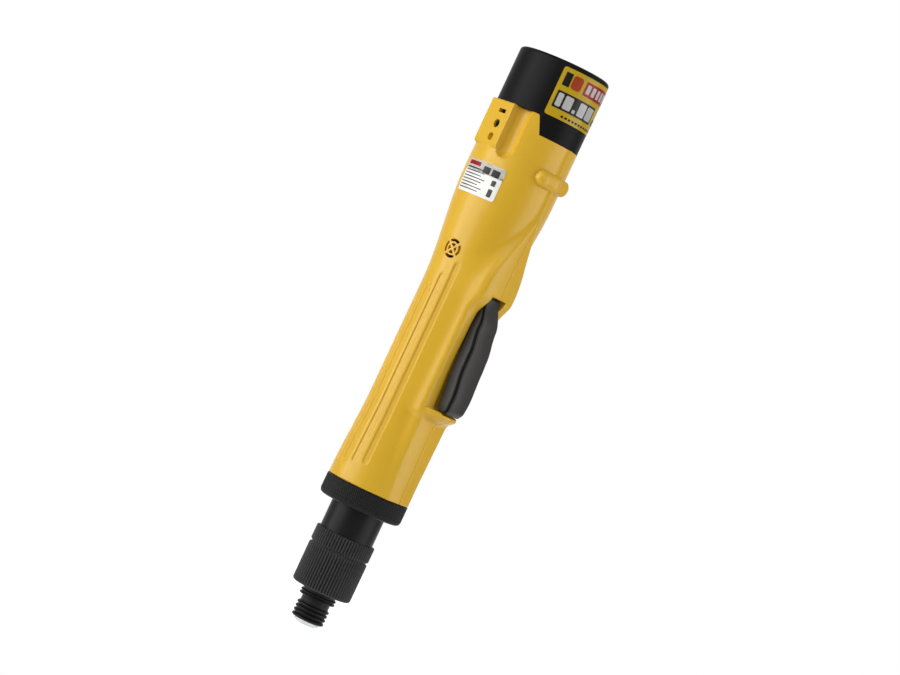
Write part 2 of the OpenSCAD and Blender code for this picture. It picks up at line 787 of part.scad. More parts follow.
module motor_plate() {
    color("silver") difference() {
        disc(case_r, motor_plate_z, motor_plate_z + plate_t);
        disc(motor_boss_r + 0.1, motor_plate_z - 1, motor_plate_z + plate_t + 1);
    }
}

module motor_can() {
    color("silver") difference() {
        union() {
            disc(motor_r, motor_z, motor_cap_z);
            disc(motor_boss_r, motor_z - 1.5, motor_z + 1);
        }
        disc(motor_r - can_wall, motor_z + can_wall, motor_cap_z + 1);
        disc(shaft_r + 0.05, motor_z - 3, motor_z + 3);
    }
}

module motor_magnets() {
    magnet_t = 2.4;
    color("dimgray") difference() {
        tube(motor_r - can_wall, motor_r - can_wall - magnet_t, motor_z + 4, motor_cap_z - 5);
        translate([-4, -20, motor_z]) cube([8, 40, motor_h]);
    }
}

module motor_cap() {
    color("#303030") {
        difference() {
            union() {
                disc(motor_r, motor_cap_z, motor_cap_z + motor_cap_h);
                disc(motor_boss_r, motor_cap_z, motor_cap_z + motor_cap_h + 1.6);
            }
            disc(motor_r - 3, motor_cap_z - 1, motor_cap_z + motor_cap_h - 1.4);
            disc(shaft_r + 0.05, motor_cap_z - 1, motor_cap_z + motor_cap_h + 1.2);
        }
    }
}

comm_r = 3.4;
comm_z = motor_cap_z - 5.4;

module motor_brushes() {
    color("#303030")
        for (s = [-1, 1]) {
            translate([-1.5, s > 0 ? comm_r + 0.05 : -comm_r - 3.05, comm_z + 1]) cube([3, 3, 3]);
            translate([-1.5, s > 0 ? comm_r + 2.5 : -comm_r - 3.1, comm_z + 2]) cube([3, 0.6, motor_cap_z - comm_z + 0.3]);
        }
}

module rotor() {
    poles = 3;
    stack_r = motor_r - can_wall - 2.4 - 0.5;
    color("gray") {
        translate([0, 0, motor_z + 6]) linear_extrude(motor_h - 14)
            difference() {
                circle(r = stack_r);
                circle(r = shaft_r);
                for (i = [0 : poles - 1]) rotate(i * 120) translate([stack_r * 0.62, 0]) circle(r = 2.4);
                for (i = [0 : poles - 1]) rotate(i * 120) translate([stack_r * 0.7, -0.6]) square([stack_r, 1.2]);
            }
    }
}

module rotor_pinion() {
    color("silver") {
        disc(shaft_r, motor_z - plate_t, motor_cap_z + motor_cap_h + 1);
        translate([0, 0, planet_a_z + 0.2]) rotate([0, 0, sun_turn])
            linear_extrude(motor_z - plate_t - planet_a_z + 0.1) gear_outline(sun_teeth);
    }
}

module commutator() {
    color("peru") difference() {
        tube(comm_r, shaft_r, comm_z, motor_cap_z + 0.6);
        for (i = [0 : 2]) rotate([0, 0, i * 120 + 60])
            translate([comm_r - 0.6, -0.25, comm_z - 1]) cube([2, 0.5, 9]);
    }
}

// ---- Trigger and switches ----
// Front face of the trigger along its height, as shares of its reach
function trigger_face(z) =
    let (s = (z - trigger_z) / trigger_h)
    trigger_reach - ease([[0, 2.2], [0.06, 0.5], [0.17, 0], [0.42, 1.5], [0.74, 3.8], [0.9, 5.2], [1, 6.9]], s);
function trigger_back(z) =
    let (s = (z - trigger_z) / trigger_h) ease([[0, 19.6], [0.3, 18], [0.75, 16.4], [1, 16.4]], s);

module trigger_solid(inset) {
    steps = 14;
    loft([for (k = [0 : steps])
        let (z = trigger_z + trigger_h * k / steps, w = trigger_half(z) - inset, face = trigger_face(z) - inset,
            back = trigger_back(z) - inset * 2, zz = trigger_z + inset + (trigger_h - 2 * inset) * k / steps)
        [[back, -w, zz], [face - 2.4, -w, zz], [face - 1.3, -w + 0.5, zz], [face - 0.6, -w * 0.7, zz],
            [face - 0.1, -w * 0.35, zz], [face, 0, zz], [face - 0.1, w * 0.35, zz], [face - 0.6, w * 0.7, zz],
            [face - 1.3, w - 0.5, zz], [face - 2.4, w, zz], [back, w, zz]]]);
}

module trigger() {
    wall = 1.5;
    color("#454142") difference() {
        union() {
            difference() {
                trigger_solid(0);
                intersection() {
                    trigger_solid(wall);
                    translate([0, -20, trigger_z]) cube([60, 40, trigger_h - 8]);
                }
            }
            // Rib that works the switch
            translate([plunger_face_x, -1.2, plunger_z - 1.2])
                cube([trigger_face(plunger_z) - wall - plunger_face_x + 0.4, 2.4, 2.4]);
        }
        cross_cylinder(trigger_pin_r + 0.03, pivot_x, pivot_z, -20, 20);
    }
}

plunger_face_x = 17.6;

module trigger_pin() {
    color("silver") cross_cylinder(trigger_pin_r, pivot_x, pivot_z, -7.2, 7.2);
}

switch_face_x = board_bore_r - 0.5;

module trigger_switch() {
    color("#303030") difference() {
        translate([switch_face_x - 6.5, -3.2, plunger_z - 6.4]) cube([6.5, 6.4, 12.8]);
        translate([switch_face_x - 4, 0, plunger_z]) rotate([0, 90, 0]) cylinder(r = 1.25, h = 10);
    }
}

module switch_plunger() {
    color("firebrick") translate([switch_face_x - 2.4, 0, plunger_z])
        rotate([0, 90, 0]) cylinder(r = 1.2, h = plunger_face_x - 0.12 - switch_face_x + 2.4);
}

module direction_switch() {
    color("#303030") difference() {
        translate([-switch_face_x, -3.4, knob_z - 5.4]) cube([4, 6.8, 10.8]);
        translate([-switch_face_x - 1, -0.75, knob_z - 3]) cube([3.2, 1.5, 6]);
    }
}

module direction_knob() {
    color("#303030") {
        translate([-grip_r - 1.6, -1.6, knob_z - 1]) cube([grip_r + 1.6 - switch_face_x - 0.1, 3.2, 2]);
        translate([-switch_face_x - 0.5, -0.6, knob_z - 1]) cube([2.4, 1.2, 2]);
    }
}

board_z = motor_cap_z + motor_cap_h + 26;

module control_board() {
    color("darkgreen") translate([-3, -9.4, board_z]) cube([1.6, 22.8, bulkhead_z - board_z - 0.1]);
    color("#303030") {
        translate([-5.2, -8, board_z + 3]) cube([2.2, 5, 6]);
        translate([-5.2, 3, board_z + 3]) cube([2.2, 5, 6]);
        translate([-4.4, -3, board_z + 12]) cube([1.4, 6, 6]);
    }
}

module buzzer() {
    color("#303030") difference() {
        translate([0, 0.8 - board_bore_r, vent_z]) rotate([-90, 0, 0]) cylinder(r = 4.3, h = 3.4);
        translate([0, -board_bore_r, vent_z]) rotate([-90, 0, 0]) cylinder(r = 0.9, h = 2);
    }
}

// ---- Battery ----
blade_x = [-6, 0, 6];

module contact_block() {
    color("#303030") difference() {
        translate([-9, -3, bulkhead_z + 0.5]) cube([18, 6, battery_z - bulkhead_z - 1.3]);
        contact_slots();
    }
}

module contact_slots() {
    for (x = blade_x) translate([x - 0.4, -2, bulkhead_z]) cube([0.8, 4, battery_z - bulkhead_z + 5]);
}

module contact_blades() {
    color("gold")
        for (x = blade_x) translate([x - 0.4, -2, bulkhead_z + 1]) cube([0.8, 4, battery_z - bulkhead_z + 4]);
}

terminal_depth = 5.2;

module battery_shape(z0, z1, a, b) {
    translate([0, 0, z0]) linear_extrude(z1 - z0) oval(a, b);
}

module battery_case() {
    color("#262425") difference() {
        union() {
            translate([0, 0, battery_z]) linear_extrude(battery_in_h + 1) lobed_oval(case_a, case_b, trough_r + trough_wall + battery_gap);
            battery_shape(rim_z + 0.15, battery_top_z - 3, top_a, top_b);
            intersection() {
                battery_shape(notch_z + 0.2, rim_z + 1, top_a - 0.3, top_b);
                rotate([90, 0, 90]) linear_extrude(40)
                    polygon([[-rim_cut_low + 0.3, notch_z + 0.15], [rim_cut_low - 0.3, notch_z + 0.15],
                        [rim_cut_high - 0.1, rim_z + 1.1], [-rim_cut_high + 0.1, rim_z + 1.1]]);
            }
        }
        for (i = [0 : 2]) rotate([0, 0, i * 120])
            translate([cell_orbit, 0, battery_z + terminal_depth + 1]) cylinder(d = cell_d + 0.2, h = 100);
        for (x = blade_x) translate([x - 0.7, -2.4, battery_z - 1]) cube([1.4, 4.8, terminal_depth + 1.2]);
    }
}

cell_orbit = cell_d / sqrt(3) + 0.1;

module battery_cap() {
    edge = 1.5;
    color("#262425") {
        battery_shape(battery_top_z - 3, battery_top_z - edge, top_a, top_b);
        battery_shape(battery_top_z - edge, battery_top_z - edge * 0.4, top_a - 0.3, top_b - 0.3);
        battery_shape(battery_top_z - edge * 0.4, battery_top_z, top_a - 1.1, top_b - 1.1);
    }
}

module battery_cells() {
    color("steelblue")
        for (i = [0 : 2]) rotate([0, 0, i * 120])
            translate([cell_orbit, 0, battery_z + terminal_depth + 1.2]) cylinder(d = cell_d, h = cell_h);
}

module battery_terminals() {
    color("gold")
        for (x = blade_x) for (s = [-1, 1])
            translate([x + s * 0.55 - 0.12, -1.9, battery_z + 0.4]) cube([0.24, 3.8, terminal_depth - 0.6]);
}

label_h = 21.5;

module battery_label() {
    reach = 52;
    thick = 0.15;
    outline = [for (t = [-reach : 4 : reach]) let (r = oval_r(top_a, top_b, t) + thick) r * [cos(t), sin(t)]];
    inner = [for (t = [reach : -4 : -reach]) let (r = oval_r(top_a, top_b, t) + 0.01) r * [cos(t), sin(t)]];
    color("#e0b52c") translate([0, 0, battery_top_z - 23.7]) linear_extrude(label_h) polygon(concat(outline, inner));
}

// Rating plate: a thin sheet that follows the housing's side
module rating_plate() {
    plate_h = 14.8;
    levels = [for (i = [0 : 3]) plate_z + plate_h * i / 3];
    turns = [for (i = [0 : 10]) -127 + i * 6.2];
    color("whitesmoke")
        loft([for (z = levels) concat(
            [for (t = turns) (body_r(t, z) + 0.2) * [cos(t), sin(t), 0] + [0, 0, z]],
            [for (i = [10 : -1 : 0]) let (t = turns[i]) (body_r(t, z) + 0.02) * [cos(t), sin(t), 0] + [0, 0, z]])],
            band = true);
}

housing_left();
housing_right();
housing_screws();
clamp_ring();
nose_tube();
gear_case();
front_bearing();
torque_nut();
thrust_washer();
push_pins();
spring_seat();
clutch_spring();
spindle();
bit_ball();
sleeve_clip();
retaining_ring();
chuck_sleeve();
sleeve_spring();
clutch_plate();
clutch_balls();
carrier_b();
planet_b1();
planet_b2();
planet_b3();
carrier_a();
planet_a1();
planet_a2();
planet_a3();
motor_plate();
motor_can();
motor_magnets();
motor_cap();
motor_brushes();
rotor();
rotor_pinion();
commutator();
trigger();
trigger_pin();
trigger_switch();
switch_plunger();
direction_switch();
direction_knob();
control_board();
buzzer();
contact_block();
contact_blades();
rating_plate();
battery_case();
battery_cap();
battery_cells();
battery_terminals();
battery_label();
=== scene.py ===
"""Looks of a straight battery screwdriver with a lever trigger and a torque nut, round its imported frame.

Sizes are millimetres in the spindle's frame: +Z towards the battery, +X towards the trigger, with the shells
meeting on y = 0. Every mesh is brought to metres as it is finished.
"""

import json
import logging
import math
from collections.abc import Callable, Sequence
from dataclasses import dataclass, field
from enum import Enum

import bmesh
import bpy
from mathutils import Matrix, Vector


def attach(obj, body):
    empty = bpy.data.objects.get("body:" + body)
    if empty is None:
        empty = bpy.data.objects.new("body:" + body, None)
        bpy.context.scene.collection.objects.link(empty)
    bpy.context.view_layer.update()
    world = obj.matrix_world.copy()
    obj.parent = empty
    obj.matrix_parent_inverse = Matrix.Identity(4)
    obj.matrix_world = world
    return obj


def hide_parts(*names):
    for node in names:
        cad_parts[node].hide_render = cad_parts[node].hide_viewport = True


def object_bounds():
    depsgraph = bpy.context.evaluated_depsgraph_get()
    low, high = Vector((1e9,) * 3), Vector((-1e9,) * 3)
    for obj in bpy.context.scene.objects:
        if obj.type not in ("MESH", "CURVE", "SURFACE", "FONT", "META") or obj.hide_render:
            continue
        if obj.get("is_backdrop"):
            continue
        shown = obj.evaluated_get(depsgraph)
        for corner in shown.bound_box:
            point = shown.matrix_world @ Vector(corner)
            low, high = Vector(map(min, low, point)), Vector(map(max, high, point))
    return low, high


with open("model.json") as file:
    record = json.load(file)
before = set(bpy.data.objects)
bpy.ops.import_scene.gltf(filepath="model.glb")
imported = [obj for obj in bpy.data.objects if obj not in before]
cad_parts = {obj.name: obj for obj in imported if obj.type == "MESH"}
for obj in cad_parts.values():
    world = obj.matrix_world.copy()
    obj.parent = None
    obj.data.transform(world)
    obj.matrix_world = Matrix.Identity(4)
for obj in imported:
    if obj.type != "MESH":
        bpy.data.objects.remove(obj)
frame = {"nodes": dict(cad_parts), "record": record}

log = logging.getLogger("screwdriver")
MM = 0.001
Table = Sequence[tuple[float, float]]
Mesh = bmesh.types.BMesh


# ---------------------------------------------------------------- small maths


def ease(table: Table, at: float) -> float:
    """Value of a (place, value) table, eased between its entries.

    Args:
        table: Rows in rising order of place.
        at: The place.

    Returns:
        The eased value, held at the ends.
    """
    if at <= table[0][0]:
        return table[0][1]
    for (a, va), (b, vb) in zip(table, table[1:]):
        if at <= b:
            share = (at - a) / (b - a)
            return va + (vb - va) * share * share * (3 - 2 * share)
    return table[-1][1]


def blend_max(a: float, b: float, width: float) -> float:
    """Larger of two values, rounded where they come within width of each other."""
    near = max(width - abs(a - b), 0) / width
    return max(a, b) + near * near * width / 4


def blend_min(a: float, b: float, width: float) -> float:
    """Smaller of two values, rounded where they come within width of each other."""
    return -blend_max(-a, -b, width)


def oval_reach(a: float, b: float, turn: float) -> float:
    """Distance from the middle of an oval with half-axes a and b to its edge at an angle in degrees."""
    t = math.radians(turn)
    return 1 / math.sqrt((math.cos(t) / a) ** 2 + (math.sin(t) / b) ** 2)


def polar(r: float, turn: float, z: float) -> Vector:
    """The place at a distance and an angle in degrees round the spindle axis, at a height."""
    t = math.radians(turn)
    return Vector((r * math.cos(t), r * math.sin(t), z))


def steps(start: float, end: float, size: float) -> list[float]:
    """Evenly spaced values from start to end, both included, no further apart than size."""
    count = max(1, math.ceil(abs(end - start) / size - 1e-9))
    return [start + (end - start) * i / count for i in range(count + 1)]


# ---------------------------------------------------------------- finishes


def linear(hex_colour: str) -> tuple[float, float, float, float]:
    """Linear RGBA of an sRGB hex colour such as "#d8ae33"."""
    parts = [int(hex_colour[i : i + 2], 16) / 255 for i in (1, 3, 5)]
    return (*[c / 12.92 if c <= 0.04045 else ((c + 0.055) / 1.055) ** 2.4 for c in parts], 1.0)


def add_node(tree: bpy.types.NodeTree, kind: str, settings: dict | None = None, links: dict | None = None,
             **sockets: object) -> bpy.types.Node:
    """Adds one shader node.

    Args:
        tree: The material's tree.
        kind: The node's type name.
        settings: Attributes of the node, by name.
        links: Output sockets to join to its inputs, by input name or number.
        **sockets: Plain values for its inputs, by name with underscores for spaces.

    Returns:
        The new node.
    """
    node = tree.nodes.new(kind)
    for name, value in (settings or {}).items():
        setattr(node, name, value)
    for name, value in sockets.items():
        node.inputs[name.replace("_", " ")].default_value = value
    for name, output in (links or {}).items():
        tree.links.new(output, node.inputs[name])
    return node


class Texture(Enum):
    """How a finish's surface was made."""

    SPARKED = "spark-eroded mould"
    BRUSHED = "turned or brushed"
    SMOOTH = "smooth"


@dataclass(frozen=True)
class Finish:
    """One material: its colour, gloss and surface texture."""

    name: str
    colour: str
    shade: str
    roughness: float
    metallic: float = 0.0
    coat: float = 0.0
    specular: float = 0.5
    texture: Texture = Texture.SPARKED
    grain_mm: float = 0.6
    depth_mm: float = 0.01
    patch_mm: float = 30.0
    bleed: float = 0.0

    def material(self) -> bpy.types.Material:
        """The finish as a node material, made once and shared."""
        made = bpy.data.materials.get(self.name)
        return made if made else self._make()

    def _make(self) -> bpy.types.Material:
        """Builds the node tree: mottled colour, uneven gloss and a fine bump on Object coordinates."""
        made = bpy.data.materials.new(self.name)
        made.use_nodes = True
        tree = made.node_tree
        tree.nodes.clear()
        place = add_node(tree, "ShaderNodeTexCoord").outputs["Object"]
        stretch = (1.0, 1.0, 12.0) if self.texture is Texture.BRUSHED else (1.0, 1.0, 1.0)
        grain_place = add_node(tree, "ShaderNodeMapping", links={"Vector": place}, Scale=stretch)
        patches = add_node(tree, "ShaderNodeTexNoise", links={"Vector": place},
                           Scale=1 / (self.patch_mm * MM), Detail=2.0)
        grain = add_node(tree, "ShaderNodeTexNoise", links={"Vector": grain_place.outputs["Vector"]},
                         Scale=1 / (self.grain_mm * MM), Detail=3.0)
        ramp = add_node(tree, "ShaderNodeValToRGB", links={"Fac": patches.outputs["Fac"]})
        ramp.color_ramp.elements[0].position, ramp.color_ramp.elements[1].position = 0.25, 0.75
        ramp.color_ramp.elements[0].color = linear(self.shade)
        ramp.color_ramp.elements[1].color = linear(self.colour)
        gloss = add_node(tree, "ShaderNodeMapRange", links={"Value": grain.outputs["Fac"]}, From_Min=0.2,
                         From_Max=0.8, To_Min=max(self.roughness - 0.05, 0.02), To_Max=self.roughness
                         + 0.05)
        bump = add_node(tree, "ShaderNodeBump", links={"Height": grain.outputs["Fac"]}, Strength=1.0,
                        Distance=self.depth_mm * MM)
        shader = add_node(tree, "ShaderNodeBsdfPrincipled",
                          links={"Base Color": ramp.outputs["Color"], "Roughness": gloss.outputs["Result"],
                                 "Normal": bump.outputs["Normal"]}, Metallic=self.metallic,
                          Specular_IOR_Level=self.specular, Coat_Weight=self.coat, Coat_Roughness=0.25)
        if self.bleed:
            shader.inputs["Subsurface Weight"].default_value = self.bleed
            shader.inputs["Subsurface Radius"].default_value = (1.0, 0.5, 0.15)
            shader.inputs["Subsurface Scale"].default_value = 0.6 * MM
        add_node(tree, "ShaderNodeOutputMaterial", links={"Surface": shader.outputs["BSDF"]})
        return made


# Moulded ABS, spark-eroded: a soft broad sheen on a warm yellow
YELLOW_ABS = Finish("moulded yellow ABS", "#dbae2a", "#d7a926", 0.32, grain_mm=0.35, depth_mm=0.006,
                    specular=0.42)
# Moulded black ABS of the battery: slightly warm, satin
BATTERY_ABS = Finish("moulded black ABS", "#110f11", "#0f0d0f", 0.44, grain_mm=0.4, depth_mm=0.006,
                     specular=0.11)
# Moulded glass-filled nylon of the trigger: dark grey with a soft sheen
TRIGGER_NYLON = Finish("moulded grey nylon", "#332f2f", "#2f2c2b", 0.38, grain_mm=0.3, depth_mm=0.005,
                       specular=0.3)
# Small black moulded parts inside and on the back
BLACK_ACETAL = Finish("moulded black acetal", "#0f0f10", "#0d0d0e", 0.4, specular=0.16)
# Turned steel, blackened: near black, its turning marks give long soft highlights
BLACK_STEEL = Finish("blackened turned steel", "#09090a", "#070708", 0.38, texture=Texture.BRUSHED,
                     grain_mm=0.5, depth_mm=0.001, specular=0.2)
# The nut: blackened and left matt, so that its flutes stand out from their grooves
MATT_STEEL = Finish("matt blackened steel", "#303031", "#2b2b2c", 0.4, texture=Texture.BRUSHED,
                    grain_mm=0.5, depth_mm=0.001, specular=0.3)
# Ground steel of the spindle and the pins
GROUND_STEEL = Finish("ground steel", "#c9cacc", "#bfc0c2", 0.2, metallic=1.0, texture=Texture.BRUSHED,
                      grain_mm=0.3, depth_mm=0.001)
# Hardened gear steel: darker, oiled
GEAR_STEEL = Finish("oiled gear steel", "#8b8a87", "#7d7b77", 0.32, metallic=1.0, grain_mm=0.5,
                    depth_mm=0.002)
# Zinc-plated fixing screws
ZINC_STEEL = Finish("black zinc-plated steel", "#3a3a3c", "#2f2f31", 0.3, metallic=1.0, grain_mm=0.4,
                    depth_mm=0.002)
# Sintered bronze of the front bearing
SINTERED_BRONZE = Finish("sintered bronze", "#a9793f", "#94683a", 0.45, metallic=1.0, grain_mm=0.2,
                         depth_mm=0.004)
# Rolled and plated sheet of the motor can
PLATED_CAN = Finish("nickel-plated sheet steel", "#b4b2ac", "#a8a6a0", 0.3, metallic=1.0, grain_mm=0.8,
                    depth_mm=0.001)
# Sintered ferrite magnets: dull dark grey
FERRITE = Finish("sintered ferrite", "#3b3a3c", "#323133", 0.7, grain_mm=0.2, depth_mm=0.01)
# Hard-drawn copper of the commutator
DRAWN_COPPER = Finish("hard-drawn copper", "#c07a4c", "#b06d42", 0.28, metallic=1.0,
                      texture=Texture.BRUSHED, grain_mm=0.3, depth_mm=0.001)
# Stamped, gold-flashed contacts
GOLD_FLASH = Finish("gold-flashed brass", "#d9b25c", "#cfa650", 0.25, metallic=1.0, grain_mm=0.5,
                    depth_mm=0.001)
# Solder mask on glass-epoxy board
SOLDER_MASK = Finish("green solder mask", "#1f5a35", "#194c2c", 0.3, coat=0.4, grain_mm=0.8, depth_mm=0.003)
# Moulded red acetal of the switch plunger
RED_ACETAL = Finish("moulded red acetal", "#a8231c", "#97201a", 0.35)


def printed(name: str, colour: str, shade: str, roughness: float = 0.32) -> Finish:
    """A printed film or ink: smooth, with a coat that gives a thin even shine."""
    return Finish(name, colour, shade, roughness, texture=Texture.SMOOTH, grain_mm=1.5, depth_mm=0.0005,
                  coat=0.3)


# Calendered vinyl of the two labels, and the inks on them
WHITE_VINYL = printed("printed white vinyl", "#efeee9", "#e9e8e3", 0.3)
YELLOW_VINYL = printed("printed yellow vinyl", "#f3d01f", "#efcc1c", 0.3)
BLACK_INK = printed("black label ink", "#17161a", "#141317")
RED_INK = printed("red label ink", "#c8202b", "#c01d28")
ORANGE_INK = printed("orange label ink", "#d4572a", "#cc5126")
WHITE_INK = printed("white label ink", "#f0efec", "#eae9e6")
# Shrink film round the cells
SHRINK_FILM = Finish("blue shrink film", "#2c5a86", "#274f77", 0.25, texture=Texture.SMOOTH, grain_mm=2.0,
                     depth_mm=0.002, coat=0.4)

CARRIED_OVER = {"housing": YELLOW_ABS, "battery_black": BATTERY_ABS, "trigger_grey": TRIGGER_NYLON,
                "black_metal": BLACK_STEEL, "steel": GROUND_STEEL, "gear_steel": GEAR_STEEL,
                "bronze": SINTERED_BRONZE, "motor_steel": PLATED_CAN, "magnet": FERRITE,
                "black_plastic": BLACK_ACETAL, "copper": DRAWN_COPPER, "contact_brass": GOLD_FLASH,
                "board_green": SOLDER_MASK, "plunger_red": RED_ACETAL, "plate_white": WHITE_VINYL,
                "label_yellow": YELLOW_VINYL, "cell_wrap": SHRINK_FILM, }


# ---------------------------------------------------------------- meshes


def put(bm: Mesh, name: str, finish: Finish, body: str, slot: str, stands_for: Sequence[str] = (),
        crease: float = 32.0) -> bpy.types.Object:
    """Turns a bmesh in millimetres into a finished piece of the scene.

    Args:
        bm: The mesh, which is freed.
        name: The piece's name.
        finish: Its finish.
        body: The CAD body it rides on.
        slot: The record's material slot; not used.
        stands_for: CAD nodes it replaces.
        crease: Angle in degrees above which an edge stays sharp.

    Returns:
        The piece.
    """
    bmesh.ops.recalc_face_normals(bm, faces=bm.faces)
    bmesh.ops.scale(bm, vec=(MM, MM, MM), verts=bm.verts)
    for face in bm.faces:
        face.smooth = True
    mesh = bpy.data.meshes.new(name)
    bm.to_mesh(mesh)
    bm.free()
    mesh.set_sharp_from_angle(angle=math.radians(crease))
    piece = bpy.data.objects.new(name, mesh)
    bpy.context.scene.collection.objects.link(piece)
    piece.data.materials.append(finish.material())
    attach(piece, body)
    if stands_for:
        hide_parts(*stands_for)
    log.info("%s: %d faces on %s", name, len(mesh.polygons), body)
    return piece


def wrapped_grid(us: Sequence[float], vs: Sequence[float], place: Callable[[float, float], Vector]) -> Mesh:
    """A grid whose corners are moved to place(u, v) for every u in us and v in vs."""
    bm = bmesh.new()
    made = bmesh.ops.create_grid(bm, x_segments=len(us) - 1, y_segments=len(vs) - 1, size=0.5)
    for vert in made["verts"]:
        u = us[round((vert.co.x + 0.5) * (len(us) - 1))]
        v = vs[round((vert.co.y + 0.5) * (len(vs) - 1))]
        vert.co = place(u, v)
    return bm


def turned(profile: Table, count: int = 96) -> Mesh:
    """A closed solid of revolution about the spindle axis, from its section's (distance, height) corners."""
    bm = bmesh.new()
    verts = [bm.verts.new((r, 0, z)) for r, z in profile]
    edges = [bm.edges.new((a, b)) for a, b in zip(verts, [*verts[1:], verts[0]])]
    bmesh.ops.spin(bm, geom=[*verts, *edges], cent=(0, 0, 0), axis=(0, 0, 1), angle=math.tau, steps=count,
                   use_merge=True, use_duplicate=False)
    bmesh.ops.remove_doubles(bm, verts=bm.verts, dist=1e-4)
    bmesh.ops.recalc_face_normals(bm, faces=bm.faces)
    return bm


def rod(radius: float, start: Vector, end: Vector, sides: int = 48) -> Mesh:
    """A plain closed cylinder between two points, used to cut with."""
    bm = bmesh.new()
    along = end - start
    turn = along.to_track_quat("Z", "Y").to_matrix().to_4x4()
    bmesh.ops.create_cone(bm, cap_ends=True, segments=sides, radius1=radius, radius2=radius,
                          depth=along.length, matrix=Matrix.Translation((start + end) / 2) @ turn)
    return bm


def block(low: Vector, high: Vector, turn: Matrix = Matrix.Identity(4)) -> Mesh:
    """A closed box between two corners, turned after it is placed."""
    bm = bmesh.new()
    size = high - low
    bmesh.ops.create_cube(bm, size=1.0, matrix=turn @ Matrix.Translation((low + high) / 2)
                          @ Matrix.Diagonal((*size, 1)))
    return bm


def prism(outline: Sequence[Vector], along: Vector) -> Mesh:
    """A closed prism: an outline of points swept along a vector."""
    bm = bmesh.new()
    face = bm.faces.new([bm.verts.new(p) for p in outline])
    swept = bmesh.ops.extrude_face_region(bm, geom=[face], use_keep_orig=True)
    bmesh.ops.translate(bm, vec=along, verts=[v for v in swept["geom"] if isinstance(v, bmesh.types.BMVert)])
    bmesh.ops.recalc_face_normals(bm, faces=bm.faces)
    return bm


def carve(body: Mesh, cutters: Sequence[Mesh]) -> Mesh:
    """Cuts each closed cutter out of a closed body and frees them."""
    scene = bpy.context.scene.collection
    mesh = bpy.data.meshes.new("blank")
    bmesh.ops.recalc_face_normals(body, faces=body.faces)
    body.to_mesh(mesh)
    body.free()
    blank = bpy.data.objects.new("blank", mesh)
    scene.objects.link(blank)
    tools = []
    for cutter in cutters:
        bmesh.ops.recalc_face_normals(cutter, faces=cutter.faces)
        tool_mesh = bpy.data.meshes.new("cutter")
        cutter.to_mesh(tool_mesh)
        cutter.free()
        tool = bpy.data.objects.new("cutter", tool_mesh)
        scene.objects.link(tool)
        tools.append(tool)
        cut = blank.modifiers.new("cut", "BOOLEAN")
        cut.operation, cut.solver, cut.object = "DIFFERENCE", "MANIFOLD", tool
    result = bmesh.new()
    result.from_mesh(blank.evaluated_get(bpy.context.evaluated_depsgraph_get()).to_mesh())
    for thing in [*tools, blank]:
        data = thing.data
        bpy.data.objects.remove(thing)
        bpy.data.meshes.remove(data)
    return result


def join(*parts: Mesh) -> Mesh:
    """Puts several meshes into the first one and frees the rest."""
    whole = parts[0]
    for part in parts[1:]:
        carried = bpy.data.meshes.new("carried")
        part.to_mesh(carried)
        part.free()
        whole.from_mesh(carried)
        bpy.data.meshes.remove(carried)
    return whole


# ---------------------------------------------------------------- housing


